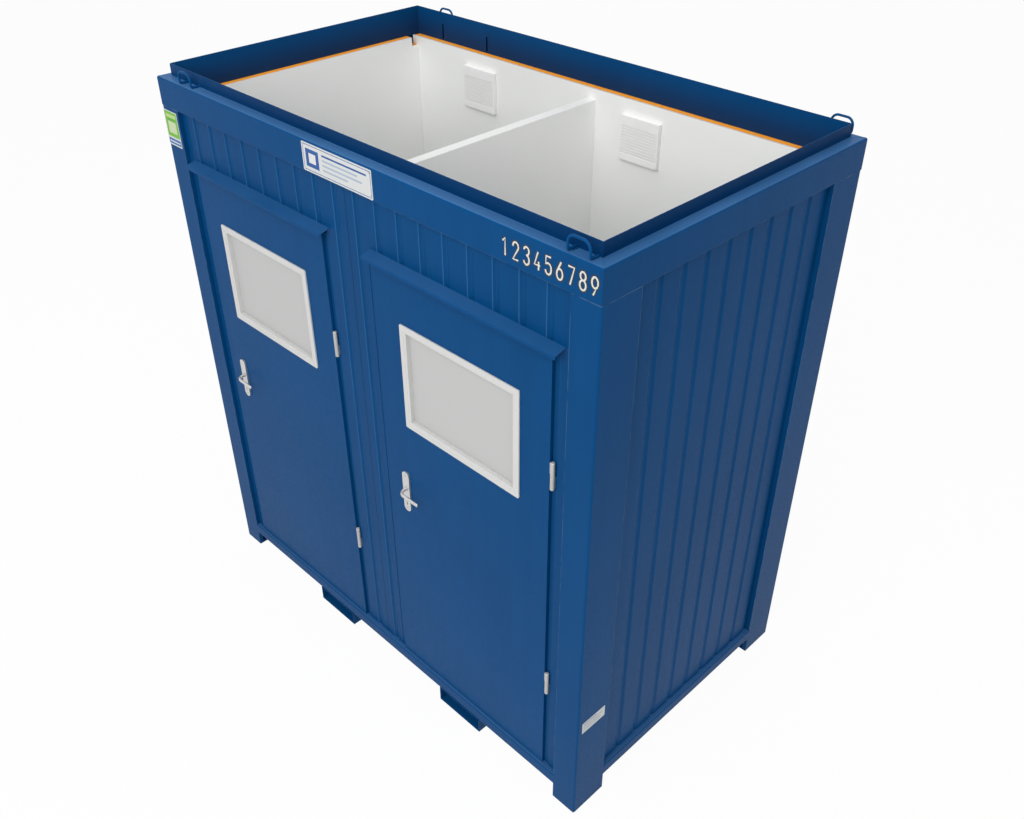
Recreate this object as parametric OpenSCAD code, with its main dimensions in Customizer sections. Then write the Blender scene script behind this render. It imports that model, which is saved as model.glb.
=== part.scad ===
// Sanitary container: two toilet cubicles in one steel frame, each with its own door on the front.
// Millimetres, +Z up, X along the long side, doors at -Y. The origin is on the ground at the middle.

/* [Overall] */
// Piece to draw, or all of them
// Length of the frame along X
body_l = 2400; // [2370:10:2800]
// Width of the frame along Y
body_w = 1400; // [1300:10:1600]
// Height of the roof rail flange above the ground
body_h = 2490; // [2450:10:2700]

/* [Corner posts] */
// Width of a post on the long side
post_front = 117; // [90:1:120]
// Width of a post on the short side
post_side = 178; // [120:1:200]
// Steel thickness of posts and floor rails
post_t = 4; // [3:0.5:6]
// Outer bend radius of posts and floor rails
bend_r = 8; // [7:0.5:10]

/* [Floor] */
// Ground clearance under the floor rails
rail_low = 79; // [70:1:100]
// Height of the floor rails
rail_h = 60; // [50:1:80]
// Thickness of the floor deck
deck_t = 24; // [18:1:28]
// Width of a fork pocket
pocket_w = 258; // [220:1:280]
// Middle of the left fork pocket along X
pocket_left_x = -389; // [-450:1:-360]
// Middle of the right fork pocket along X
pocket_right_x = 508; // [480:1:540]
// Number of floor joists on each side of the middle one
joists_a_side = 3; // [2:1:3]

/* [Roof] */
// Height of the roof rails up to their flange
roof_h = 118; // [100:1:130]
// Width of the roof rail flange outside the upstand
flange_w = 45; // [40:1:60]
// Height of the upstand above the flange
upstand_h = 50; // [30:1:70]
// Steel thickness of the roof rails
roof_t = 3; // [2:0.5:4]
// Radius of the round bar of a lifting eye
eye_r = 4.5; // [4:0.5:6]
// Width of a lifting eye between bar middles
eye_w = 84; // [80:1:100]
// Rise of a lifting eye above the flange, to the top of the bar
eye_h = 59; // [55:1:80]
// Middle of the right eyes from the right end
eye_right = 102; // [90:1:150]
// Middle of the left eyes from the left end
eye_left = 212; // [180:1:260]
// Middle of the left cable slot in the rear rail
cable_slot_x = -973; // [-1000:1:-940]

/* [Walls] */
// Recess of the walls behind the frame's outer faces
wall_inset = 20; // [18:1:24]
// Wall thickness from cladding face to lining face
wall_t = 65; // [60:1:80]
// Sheet thickness of the cladding
skin_t = 2; // [1:0.5:2.5]
// Thickness of the inner lining
lining_t = 10; // [8:1:12]
// Distance between cladding grooves
groove_pitch = 116; // [110:1:125]
// Width of a groove at its mouth
groove_w = 34; // [24:1:40]
// Width of a groove at its base
groove_b = 10; // [6:1:16]
// Depth of a groove
groove_d = 5; // [3:0.5:6]
// Sideways shift of the grooves on the end walls
groove_shift = -7; // [-10:1:10]
// Drop of the wall tops below the roof flange
wall_drop = 78; // [70:1:90]
// Thickness of the partition
part_t = 45; // [40:1:60]
// Drop of the partition top below the wall tops
part_drop = 44; // [30:1:60]

/* [Doors] */
// Distance from the left end to the left door frame
margin_left = 138; // [136:1:150]
// Width of the wall between the two door frames
pier_w = 241; // [230:1:280]
// Distance from the right door frame to the right end
margin_right = 165; // [160:1:180]
// Distance from the top of a leaf to the lower edge of the roof rail
header_h = 232; // [225:1:300]
// Thickness of the rim of a leaf, in front of its frame
leaf_rim_t = 20.5; // [18:0.5:22]
// Thickness of the part of a leaf inside its frame
leaf_core_t = 27.5; // [25:0.5:30]
// Sheet thickness of the hollow leaf
leaf_skin = 1.2; // [1:0.1:2]
// Overlap of the rim over the frame opening
rim_lap = 18; // [16:0.5:20]
// Air round a closed leaf inside its frame opening
leaf_gap = 2; // [1.8:0.1:3]
// Width of the channel round a leaf
channel_w = 25; // [24:0.5:26]
// Depth of the channel behind the cladding face
channel_d = 13; // [12:0.5:14]

/* [Hinges] */
// Radius of a hinge barrel
hinge_r = 8.5; // [8:0.5:9]
// Length of a hinge barrel
hinge_len = 115; // [90:1:140]
// Height of the lower hinge's middle
hinge_low = 640; // [400:1:700]
// Height of the upper hinge's middle
hinge_high = 1663; // [1500:1:1800]
// Radius of a hinge pin
pin_r = 5; // [4:0.5:5.5]
// Radial clearance of pins and spindles in their bearings
bearing_gap = 0.1; // [0.05:0.01:0.1]
// Free gap between parts that pass each other
free_gap = 0.5; // [0.4:0.1:0.6]

/* [Windows] */
// Width of a window frame
win_w = 600; // [450:1:650]
// Height of a window frame
win_h = 450; // [350:1:500]
// Distance from the top of a leaf to the window's middle
win_drop = 433; // [400:1:480]
// Face width of a window frame
win_face = 20; // [18:1:30]
// Projection of a window frame from the leaf
win_proud = 6; // [4:0.5:10]
// Depth of the pane behind the frame's face
pane_depth = 20; // [16:1:24]
// Thickness of the pane
pane_t = 6; // [4:0.5:10]

/* [Handles] */
// Height of the handle spindle
spindle_z = 1160; // [1050:1:1200]
// Distance of the spindle from the free edge of the leaf
backset = 108; // [100:1:120]
// Width of a lock plate
plate_w = 40; // [36:1:50]
// Length of a lock plate
plate_l = 200; // [190:1:240]
// Thickness of a lock plate
plate_t = 8; // [7:0.5:10]
// Rise of the spindle above the plate's middle
spindle_rise = 15; // [0:1:40]
// Radius of the spindle
spindle_r = 4; // [4:0.5:5]
// Length of the lever along the leaf
lever_l = 112; // [95:1:130]
// Projection of the lever's middle from the leaf
lever_out = 44.5; // [42:0.5:56]
// Height of the lever bar
lever_h = 16; // [14:1:18]
// Thickness of the lever bar
lever_t = 10; // [8:1:10]
// Length of the latch bolt
bolt_l = 44; // [40:1:50]
// Height of the latch bolt
bolt_h = 20; // [16:1:24]
// Thickness of the latch bolt
bolt_t = 12; // [10:1:14]
// Travel of the latch bolt
bolt_throw = 12; // [10:0.5:13]

/* [Canopies] */
// Overhang of a canopy past each side of its door frame
canopy_over = 1; // [0:0.5:4]
// Shift of a canopy from its leaf towards the hinges
canopy_shift = 18; // [10:1:20]
// Projection of a canopy from the cladding
canopy_out = 48; // [40:1:70]
// Fall of a canopy over its projection
canopy_fall = 12; // [6:1:16]
// Height of the canopy's front lip
canopy_lip = 12; // [8:1:14]

/* [Vents] */
// Middle of the left vent along X
vent_left_x = -674; // [-700:1:-640]
// Middle of the right vent along X
vent_right_x = 275; // [250:1:300]
// Drop of the vent middles below the wall tops
vent_drop = 155; // [150:1:200]
// Width of a vent cover
vent_w = 200; // [180:1:240]
// Height of a vent cover
vent_h = 188; // [170:1:220]
// Depth of an inner vent cover
vent_d = 20; // [16:1:30]
// Number of louvre slots
vent_slots = 12; // [8:1:12]

/* [Toilets] */
// Distance of a toilet's middle from the partition's middle
toilet_x = 568; // [560:1:580]
// Height of the pan's rim above the floor
pan_h = 400; // [380:1:460]
// Radius of the pan's rim
pan_r = 185; // [175:1:190]
// Distance of the bowl's middle from the rear lining
bowl_y = 400; // [395:1:410]
// Distance of the seat hinge from the rear lining
seat_y = 228; // [222:1:232]
// Thickness of the seat
seat_t = 14; // [12:0.5:14]
// Angle of the open lid
lid_open = 95; // [92:1:96]
// Width of a cistern
cistern_w = 360; // [320:1:400]
// Depth of a cistern
cistern_d = 165; // [150:1:170]
// Height of a cistern
cistern_h = 350; // [320:1:400]
// Outer radius of a waste spigot
waste_r = 55; // [50:1:60]
// Length of the spigots that stand out of the rear wall
spigot_l = 15; // [12:1:18]
// Outer radius of the water pipe
pipe_r = 9; // [7.5:0.5:11]
// Bend radius of the water pipe
pipe_bend = 25; // [20:1:30]
// Outer radius of the water inlet
inlet_r = 13; // [10:0.5:14]
// Radius of a paper holder
holder_r = 95; // [90:1:110]
// Depth of a paper holder
holder_d = 110; // [100:1:130]
// Height of a paper holder's middle above the floor
holder_z = 780; // [650:1:900]
// Distance of a paper holder behind the container's middle
holder_y = 120; // [80:1:160]

/* [Hidden] */
$fn = 48;
half_l = body_l / 2;
half_w = body_w / 2;
rail_top = rail_low + rail_h;
roof_z = body_h - roof_h;
roof_top = body_h + upstand_h;
wall_x = half_l - wall_inset;
wall_y = half_w - wall_inset;
in_x = wall_x - wall_t;
in_y = wall_y - wall_t;
wall_top = body_h - wall_drop;
wall_h = wall_top - rail_top;
core_in = skin_t + groove_d;
rail_w = wall_inset + wall_t - 5;
plate_z = 8;
notch_w = 38;
notch_h = 41;
// Frame face, leaf planes and openings
face_y = wall_y - channel_d;
leaf_back = face_y + free_gap;
leaf_y = leaf_back + leaf_rim_t;
leaf_in = leaf_back - leaf_core_t;
leaf_low = rail_top + 2;
leaf_top = roof_z - header_h;
leaf_h = leaf_top - leaf_low;
casing_t = 2;
frame_x = (body_l - margin_left - pier_w - margin_right) / 4;
rim_x = frame_x - channel_w - casing_t;
leaf_w = 2 * rim_x;
door_left_x = margin_left + frame_x - half_l;
door_right_x = half_l - margin_right - frame_x;
open_x = rim_x - rim_lap;
open_low = leaf_low + rim_lap;
open_top = leaf_top - rim_lap;
frame_top = leaf_top + 16 + casing_t;
canopy_z = frame_top + 11;
canopy_l = 2 * (frame_x + canopy_over);
win_z = leaf_top - win_drop;
// Hinge axis from the leaf's middle, and its plane
axis_x = rim_x + 12;
axis_y = leaf_y - 2;
pin_up = 45;
// Seal groove in the frame's face
seal_in = 5;
seal_w = 8;
seal_x = open_x + seal_in + seal_w;
// Lock
lock_x = backset - rim_x;
bolt_y = leaf_back - 7.5 - bolt_t;
bolt_gap = 0.4;
plate_mid = spindle_z - spindle_rise;
collar_r = lever_h / 2 + 1.5;
lever_bend = 25;
// Vents and pipes
vent_z = wall_top - vent_drop;
duct_w = 150;
duct_h = 80;
pipe_y = in_y - pipe_r - 6;
pipe_z = rail_top + 200;
inlet_x = 200;
feed_x = cistern_w / 2 - 30;
// Toilets
pan_back = 40;
waste_z = rail_top + 95;
rim_z = rail_top + pan_h;
spigot_gap = 2;
hinge_z = rim_z + 13;
seat_low = 1;
lid_low = seat_low + seat_t + free_gap;
lid_t = 11;
lug_r = 9;
plate_back = 12;
fit_gap = 0.3;
button_r = 20;

// Groove outline across one groove, its face at height y of the plan
function groove(c, y) = [
  [c - groove_w / 2, y], [c - groove_b / 2, y + groove_d],
  [c + groove_b / 2, y + groove_d], [c + groove_w / 2, y]
];
function face_path(l, cs, y) = concat([[-l / 2, y]], [for (c = cs) each groove(c, y)], [[l / 2, y]]);
function backwards(p) = [for (i = [len(p) - 1 : -1 : 0]) p[i]];
// Groove middles on a long wall: two panels that meet at the middle
long_n = floor((wall_x - 60 - groove_w) / groove_pitch);
long_grooves = concat(
  [for (i = [long_n : -1 : 0]) -60 - i * groove_pitch],
  [for (i = [0 : long_n]) 60 + i * groove_pitch]
);
// Groove middles on an end wall
end_n = floor((wall_y - groove_w - abs(groove_shift)) / groove_pitch - 0.5);
end_grooves = [for (i = [-end_n - 1 : end_n]) groove_shift + (i + 0.5) * groove_pitch];

// Quarter ring of a folded edge, its centre at the origin, in the quarter x < 0, y > 0.
module fold(r, t) {
  intersection() {
    difference() {
      circle(r = r);
      circle(r = r - t);
    }
    translate([-r, 0]) square(r);
  }
}

// Rectangle with round corners, its middle at the origin.
module round_rect(w, h, r) {
  square([w - 2 * r, h], center = true);
  square([w, h - 2 * r], center = true);
  for (sx = [-1, 1]) {
    for (sy = [-1, 1]) {
      translate([sx * (w / 2 - r), sy * (h / 2 - r)]) circle(r = r);
    }
  }
}

// Draws a side profile, x inwards and y up, as a bar along X on the front side of a box.
module side_bar(l, edge) {
  translate([-l / 2, -edge, 0]) rotate([90, 0, 90]) linear_extrude(l) children();
}

module post_profile() {
  translate([-bend_r, bend_r]) mirror([1, 0]) mirror([0, 1]) fold(bend_r, post_t);
  translate([-post_front, 0]) square([post_front - bend_r, post_t]);
  translate([-post_front, 0]) square([post_t, wall_inset]);
  translate([-post_t, bend_r]) square([post_t, post_side - bend_r]);
  translate([-wall_inset, post_side - post_t]) square([wall_inset, post_t]);
}

// Post at +X, -Y, with its foot plate and the plate that carries the wall corner.
module post() {
  color([0.05, 0.2, 0.42]) translate([half_l, -half_w, 0]) {
    linear_extrude(roof_z) post_profile();
    linear_extrude(plate_z) translate([-post_front, post_t]) square([post_front - post_t, post_side - post_t]);
    translate([0, 0, rail_top - plate_z]) linear_extrude(plate_z) {
      translate([-post_front, post_t]) square([post_front - post_t, rail_w - post_t]);
      translate([-rail_w, post_t]) square([rail_w - post_t, post_side - post_t]);
    }
  }
}

module rail_profile() {
  translate([0, rail_low + bend_r]) square([post_t, rail_h - 2 * bend_r]);
  translate([bend_r, rail_top - post_t]) square([rail_w - bend_r, post_t]);
  translate([bend_r, rail_low]) square([rail_w - bend_r, post_t]);
  translate([bend_r, rail_top - bend_r]) fold(bend_r, post_t);
  translate([bend_r, rail_low + bend_r]) mirror([0, 1]) fold(bend_r, post_t);
}

module long_rail() {
  color([0.05, 0.2, 0.42]) side_bar(2 * (half_l - post_front), half_w) rail_profile();
}

module end_rail() {
  color([0.05, 0.2, 0.42]) side_bar(2 * (half_w - post_side), half_l) rail_profile();
}

module roof_profile() {
  square([wall_inset, roof_t]);
  square([roof_t, roof_h - bend_r]);
  translate([bend_r, roof_h - bend_r]) fold(bend_r, roof_t);
  translate([bend_r, roof_h - roof_t]) square([flange_w + roof_t - bend_r, roof_t]);
  translate([flange_w, wall_top - roof_z]) square([roof_t, roof_top - wall_top]);
}

module roof_rail(l, edge) {
  depth = flange_w + roof_t;
  color([0.05, 0.2, 0.42]) intersection() {
    translate([0, 0, roof_z]) side_bar(l, edge) roof_profile();
    translate([0, -edge, roof_z - 1]) linear_extrude(roof_top - roof_z + 2) polygon([
      [-l / 2, 0], [l / 2, 0], [l / 2 - depth - 1, depth + 1], [depth + 1 - l / 2, depth + 1]
    ]);
  }
}

// Rear rail with two slots for cables in its inner skin.
module roof_rear() {
  difference() {
    rotate([0, 0, 180]) roof_rail(body_l, half_w);
    for (x = [cable_slot_x, vent_left_x]) {
      translate([x - 5, half_w - flange_w - roof_t - 1, wall_top + 5]) cube([10, roof_t + 2, wall_drop - roof_t - 7]);
    }
  }
}

module fork_pocket(x) {
  color([0.05, 0.2, 0.42]) translate([x - pocket_w / 2, -half_w, 0]) {
    cube([pocket_w, body_w, post_t]);
    cube([post_t, body_w, rail_low]);
    translate([pocket_w - post_t, 0, 0]) cube([post_t, body_w, rail_low]);
  }
}

// Part of a bent bar: its bend's middle at the origin, turning from angle a in the XY plane.
module bend(bar_r, r, a, turn) {
  rotate([0, 0, a]) rotate_extrude(angle = turn) translate([r, 0]) circle(r = bar_r);
}

// Half of a lifting eye at +X, its loop in the plane y = 0 and its foot running to y = reach.
module eye_half(reach) {
  low = body_h + eye_r;
  high = body_h + eye_h - eye_r;
  w = eye_w / 2;
  heel = 10;
  shoulder = 26;
  translate([0, 0, high]) rotate([0, 90, 0]) cylinder(r = eye_r, h = w - shoulder);
  translate([w - shoulder, 0, high - shoulder]) rotate([90, 0, 0]) bend(eye_r, shoulder, 0, 90);
  translate([w, 0, low + heel]) cylinder(r = eye_r, h = high - shoulder - low - heel);
  translate([w, heel, low + heel]) rotate([90, 0, 90]) bend(eye_r, heel, 180, 90);
  translate([w, heel, low]) rotate([-90, 0, 0]) cylinder(r = eye_r, h = reach - heel);
}

// Lifting eye on the front flange, its middle at x.
module lifting_eye(x) {
  for (s = [0, 1]) {
    translate([x, 10 - half_w, 0]) mirror([s, 0, 0]) eye_half(flange_w - 10);
  }
}

module lifting_eyes() {
  color([0.05, 0.17, 0.35]) {
    lifting_eye(half_l - eye_right);
    lifting_eye(eye_left - half_l);
    mirror([0, 1, 0]) {
      lifting_eye(half_l - eye_right);
      lifting_eye(eye_left - half_l);
    }
  }
}

module floor_joists() {
  step = (in_x - 115) / 3;
  color([0.3, 0.32, 0.34]) for (i = [-joists_a_side : joists_a_side]) {
    translate([i * step - 20, bend_r - half_w, rail_low + post_t]) difference() {
      cube([40, body_w - 2 * bend_r, rail_h - post_t - deck_t]);
      translate([3, -1, 3]) cube([34, body_w, rail_h - post_t - deck_t - 6]);
    }
  }
}

module floor_deck() {
  color([0.55, 0.45, 0.33]) translate([rail_w - half_l, rail_w - half_w, rail_top - deck_t]) {
    cube([body_l - 2 * rail_w, body_w - 2 * rail_w, deck_t]);
  }
}

// Cut through the front wall for a door frame with its middle at x.
module door_cut(x) {
  translate([x - frame_x, -wall_y - 1, rail_top - 1]) cube([2 * frame_x, wall_t + 2, frame_top - rail_top + 1]);
}

// Cuts through the rear wall for the vents, the water inlet and the waste stubs.
module rear_cuts() {
  for (x = [vent_left_x, vent_right_x]) {
    translate([x - duct_w / 2, in_y - 1, vent_z - duct_h / 2]) cube([duct_w, wall_t + 2, duct_h]);
  }
  translate([inlet_x, in_y - 1, pipe_z]) rotate([-90, 0, 0]) cylinder(r = inlet_r + free_gap, h = wall_t + 2);
  for (x = [-toilet_x, toilet_x]) {
    translate([x, in_y - 1, waste_z]) rotate([-90, 0, 0]) cylinder(r = waste_r + free_gap, h = wall_t + 2);
  }
}

// Notches in the tops of the end walls at the corners of the box.
module corner_cuts() {
  for (s = [0, 1]) {
    mirror([0, s, 0]) translate([in_x - 1, in_y - notch_w, wall_top - notch_h]) {
      cube([wall_t - core_in + 2, notch_w + 1, notch_h + 1]);
    }
  }
}

module long_skin() {
  translate([0, -wall_y, rail_top]) linear_extrude(wall_h) polygon(concat(
    face_path(2 * wall_x, long_grooves, 0),
    backwards(face_path(2 * wall_x, long_grooves, skin_t))
  ));
}

module end_skin() {
  l = 2 * (wall_y - skin_t);
  rotate([0, 0, 90]) translate([0, -wall_x, rail_top]) linear_extrude(wall_h) polygon(concat(
    face_path(l, end_grooves, 0),
    backwards(face_path(l, end_grooves, skin_t))
  ));
}

module cladding_front() {
  color([0.06, 0.24, 0.5]) difference() {
    long_skin();
    door_cut(door_left_x);
    door_cut(door_right_x);
  }
}

module cladding_rear() {
  color([0.06, 0.24, 0.5]) difference() {
    mirror([0, 1, 0]) long_skin();
    rear_cuts();
  }
}

module cladding_right() {
  color([0.06, 0.24, 0.5]) end_skin();
}

module cladding_left() {
  color([0.06, 0.24, 0.5]) mirror([1, 0, 0]) end_skin();
}

module wall_insulation() {
  core_t = wall_t - core_in - lining_t;
  long = 2 * (in_x + notch_w - 8);
  color([0.95, 0.55, 0.12]) {
    difference() {
      translate([-long / 2, core_in - wall_y, rail_top]) cube([long, core_t, wall_h]);
      door_cut(door_left_x);
      door_cut(door_right_x);
    }
    difference() {
      translate([-long / 2, in_y + lining_t, rail_top]) cube([long, core_t, wall_h]);
      rear_cuts();
    }
    for (s = [0, 1]) {
      mirror([s, 0, 0]) difference() {
        translate([in_x + lining_t, -in_y, rail_top]) cube([core_t, 2 * in_y, wall_h]);
        corner_cuts();
      }
    }
  }
}

module lining_front() {
  color([0.93, 0.93, 0.91]) difference() {
    translate([-in_x - notch_w, -in_y - lining_t, rail_top]) cube([2 * (in_x + notch_w), lining_t, wall_h]);
    door_cut(door_left_x);
    door_cut(door_right_x);
  }
}

module lining_rear() {
  color([0.93, 0.93, 0.91]) difference() {
    translate([-in_x - notch_w, in_y, rail_top]) cube([2 * (in_x + notch_w), lining_t, wall_h]);
    rear_cuts();
  }
}

module lining_ends() {
  color([0.93, 0.93, 0.91]) for (s = [0, 1]) {
    mirror([s, 0, 0]) difference() {
      translate([in_x, -in_y, rail_top]) cube([lining_t, 2 * in_y, wall_h]);
      corner_cuts();
    }
  }
}

module partition_wall() {
  color([0.93, 0.93, 0.91]) difference() {
    translate([-part_t / 2, -in_y, rail_top]) cube([part_t, 2 * in_y, wall_h - part_drop]);
    translate([-part_t, pipe_y, pipe_z]) rotate([0, 90, 0]) cylinder(r = pipe_r + free_gap, h = 2 * part_t);
  }
}

// Upright ring in the XZ plane: outer half width, heights, then the band's width, from y to y + t.
module ring_band(x, low, top, band, y, t) {
  difference() {
    translate([-x, y, low]) cube([2 * x, t, top - low]);
    translate([band - x, y - 1, low + band]) cube([2 * (x - band), t + 2, top - low - 2 * band]);
  }
}

// Notch for the latch bolt at the free side of the frame, open towards the front.
module keeper_cut(grow) {
  translate([-open_x - bolt_throw - 2 - grow, -face_y - 1, spindle_z - bolt_h / 2 - 2 - grow]) {
    cube([bolt_throw + 3 + grow, face_y - bolt_y + 4, bolt_h + 4 + 2 * grow]);
  }
}

module seal_ring() {
  difference() {
    ring_band(seal_x, open_low - seal_in - seal_w, open_top + seal_in + seal_w, seal_w, -face_y, 5);
    keeper_cut(2);
  }
}

module door_frame(x) {
  color([0.05, 0.2, 0.42]) translate([x, 0, 0]) difference() {
    translate([-frame_x, -wall_y, rail_top]) cube([2 * frame_x, wall_t, frame_top - rail_top]);
    translate([casing_t - frame_x, -wall_y - 1, rail_top - 1]) {
      cube([2 * (frame_x - casing_t), channel_d + 1, frame_top - casing_t - rail_top + 1]);
    }
    translate([-open_x, -wall_y - 1, open_low]) cube([2 * open_x, wall_t + 2, open_top - open_low]);
    seal_ring();
    keeper_cut(0);
  }
}

module door_seals() {
  color([0.12, 0.12, 0.13]) for (x = [door_left_x, door_right_x]) {
    translate([x, 0, 0]) seal_ring();
  }
}

module canopy_profile() {
  t = 2;
  polygon([
    [0, canopy_z], [0, canopy_z - 10], [t, canopy_z - 10], [t, canopy_z - t - 0.5],
    [canopy_out - t, canopy_z - t - 0.5 - canopy_fall], [canopy_out - t, canopy_z - canopy_fall - canopy_lip],
    [canopy_out, canopy_z - canopy_fall - canopy_lip], [canopy_out, canopy_z - canopy_fall]
  ]);
}

module door_canopies() {
  color([0.06, 0.22, 0.46]) for (x = [door_left_x, door_right_x]) {
    translate([x + canopy_shift - canopy_l / 2, -wall_y, 0]) rotate([90, 0, 90]) {
      linear_extrude(canopy_l) mirror([1, 0]) canopy_profile();
    }
  }
}

// Half of a hinge barrel from its flat middle at z = 0 to its rounded end.
module knuckle() {
  round = 4;
  h = (hinge_len - free_gap) / 2;
  rotate_extrude() {
    square([hinge_r - round, h]);
    square([hinge_r, h - round]);
    intersection() {
      translate([hinge_r - round, h - round]) circle(r = round);
      square([hinge_r, h]);
    }
  }
}

// Lower knuckle with its pin and the block that is welded to the frame.
module hinge_lower(x, z) {
  h = (hinge_len - free_gap) / 2;
  translate([x + axis_x, -axis_y, z - free_gap / 2]) {
    mirror([0, 0, 1]) knuckle();
    cylinder(r = pin_r, h = pin_up + free_gap);
    difference() {
      translate([-6, 0, 6 - h]) cube([12, axis_y - face_y, h - 12]);
      translate([0, 0, -h]) cylinder(r = hinge_r - 1, h = h);
    }
  }
}

// Upper knuckle with its bore and the block that is welded to the edge of the leaf.
module hinge_upper(x, z) {
  h = (hinge_len - free_gap) / 2;
  translate([x + axis_x, -axis_y, z + free_gap / 2]) difference() {
    union() {
      knuckle();
      translate([rim_x - axis_x, -2, 6]) cube([axis_x - rim_x, 8, h - 12]);
    }
    translate([0, 0, -1]) cylinder(r = pin_r + bearing_gap, h = pin_up + 3);
  }
}

module hinge_pins() {
  color([0.8, 0.8, 0.79]) for (x = [door_left_x, door_right_x]) {
    for (z = [hinge_low, hinge_high]) {
      hinge_lower(x, z);
    }
  }
}

module hinge_knuckles(x) {
  color([0.8, 0.8, 0.79]) for (z = [hinge_low, hinge_high]) {
    hinge_upper(x, z);
  }
}

// Rim and inner part of a leaf, taken in by d on every side.
module leaf_block(d) {
  core_x = open_x - leaf_gap - d;
  core_low = open_low + leaf_gap + d;
  core_top = open_top - leaf_gap - d;
  translate([d - rim_x, d - leaf_y, leaf_low + d]) cube([leaf_w - 2 * d, leaf_rim_t - 2 * d, leaf_h - 2 * d]);
  translate([-core_x, d - leaf_y, core_low]) cube([2 * core_x, leaf_y - leaf_in - 2 * d, core_top - core_low]);
}

module door_leaf(x) {
  color([0.06, 0.24, 0.5]) translate([x, 0, 0]) difference() {
    leaf_block(0);
    leaf_block(leaf_skin);
    translate([10 - win_w / 2, -leaf_y - 1, win_z + 10 - win_h / 2]) {
      cube([win_w - 20, leaf_y - leaf_in + 2, win_h - 20]);
    }
    translate([lock_x, -leaf_y - 1, spindle_z]) rotate([-90, 0, 0]) {
      cylinder(r = spindle_r + bolt_gap, h = leaf_y - leaf_in + 2);
    }
    translate([-open_x - 1, -bolt_y - bolt_t - bolt_gap, spindle_z - bolt_h / 2 - bolt_gap]) {
      cube([bolt_l + leaf_gap + 3, bolt_t + 2 * bolt_gap, bolt_h + 2 * bolt_gap]);
    }
  }
}

module window_frame(x) {
  color([0.88, 0.88, 0.87]) translate([x, -leaf_y - win_proud, win_z]) rotate([-90, 0, 0]) difference() {
    union() {
      linear_extrude(win_proud) round_rect(win_w, win_h, 6);
      linear_extrude(leaf_y - leaf_in + win_proud) square([win_w - 20, win_h - 20], center = true);
    }
    translate([0, 0, -1]) linear_extrude(pane_depth + 2) {
      round_rect(win_w - 2 * win_face, win_h - 2 * win_face, 4);
    }
    translate([0, 0, pane_depth]) linear_extrude(leaf_y) {
      square([win_w - 2 * win_face + 8, win_h - 2 * win_face + 8], center = true);
    }
  }
}

module window_pane(x) {
  color([0.8, 0.8, 0.8]) translate([x, pane_depth - leaf_y - win_proud, win_z]) rotate([-90, 0, 0]) {
    linear_extrude(pane_t) square([win_w - 2 * win_face + 8, win_h - 2 * win_face + 8], center = true);
  }
}

// Plate with full round ends, a bearing for the handle's collar and a keyhole, from y to y + plate_t.
module lock_plate(y) {
  translate([0, y, plate_mid]) rotate([-90, 0, 0]) mirror([0, 1, 0]) linear_extrude(plate_t) difference() {
    union() {
      square([plate_w, plate_l - plate_w], center = true);
      for (s = [-1, 1]) {
        translate([0, s * (plate_l - plate_w) / 2]) circle(r = plate_w / 2);
      }
    }
    translate([0, spindle_rise]) circle(r = collar_r + bearing_gap);
    translate([0, spindle_rise - 72]) circle(r = 5);
    translate([-2, spindle_rise - 84]) square([4, 12]);
  }
}

module lock_plates(x) {
  color([0.8, 0.8, 0.79]) translate([x + lock_x, 0, 0]) {
    lock_plate(-leaf_y - plate_t);
    lock_plate(-leaf_in);
  }
}

module lever_section() {
  square([lever_t, lever_h - lever_t], center = true);
  for (s = [-1, 1]) {
    translate([0, s * (lever_h - lever_t) / 2]) circle(r = lever_t / 2);
  }
}

// Collar, neck, bend and bar of one lever, drawn from the leaf's face at y = 0 towards -Y.
module lever() {
  straight = lever_out - lever_bend;
  reach = lever_l - lever_bend - lever_t / 2;
  translate([0, -free_gap, 0]) rotate([90, 0, 0]) cylinder(r = collar_r, h = plate_t + 2 - free_gap);
  rotate([90, 0, 0]) linear_extrude(straight) lever_section();
  translate([lever_bend, -straight, 0]) rotate([0, 0, 180]) {
    rotate_extrude(angle = 90) translate([lever_bend, 0]) lever_section();
  }
  translate([lever_bend, -lever_out, 0]) rotate([90, 0, 90]) linear_extrude(reach) lever_section();
  translate([lever_bend + reach, -lever_out, 0]) {
    translate([0, 0, -(lever_h - lever_t) / 2]) cylinder(r = lever_t / 2, h = lever_h - lever_t);
    for (s = [-1, 1]) {
      translate([0, 0, s * (lever_h - lever_t) / 2]) sphere(r = lever_t / 2);
    }
  }
}

module door_handle(x) {
  color([0.8, 0.8, 0.79]) translate([x + lock_x, 0, spindle_z]) {
    translate([0, -leaf_y - 1, 0]) rotate([-90, 0, 0]) cylinder(r = spindle_r, h = leaf_y - leaf_in + 2);
    translate([0, -leaf_y, 0]) intersection() {
      lever();
      translate([-50, -200, -50]) cube([400, 200 - free_gap, 100]);
    }
    translate([0, -leaf_in, 0]) mirror([0, 1, 0]) intersection() {
      lever();
      translate([-50, -200, -50]) cube([400, 200 - free_gap, 100]);
    }
  }
}

module latch_bolt(x) {
  color([0.75, 0.75, 0.74]) translate([x + leaf_gap - open_x - bolt_throw, -bolt_y - bolt_t, spindle_z - bolt_h / 2]) {
    difference() {
      cube([bolt_l, bolt_t, bolt_h]);
      translate([0, 0, -1]) linear_extrude(bolt_h + 2) polygon([
        [-1, bolt_t + 1], [bolt_throw - 4, bolt_t + 1], [-1, bolt_t - bolt_throw + 4]
      ]);
    }
  }
}

// Slotted cover, its back at y = 0 and its front at y = -d.
module louvre(d) {
  pitch = 7.7;
  low = -12.5 - vent_slots * pitch / 2;
  difference() {
    translate([-vent_w / 2, -d, -vent_h / 2]) cube([vent_w, d, vent_h]);
    translate([5 - vent_w / 2, 4 - d, 5 - vent_h / 2]) cube([vent_w - 10, d, vent_h - 10]);
    for (i = [0 : vent_slots - 1]) {
      translate([20 - vent_w / 2, -d - 1, low + i * pitch]) cube([vent_w - 40, 8, 3.5]);
    }
  }
}

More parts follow.
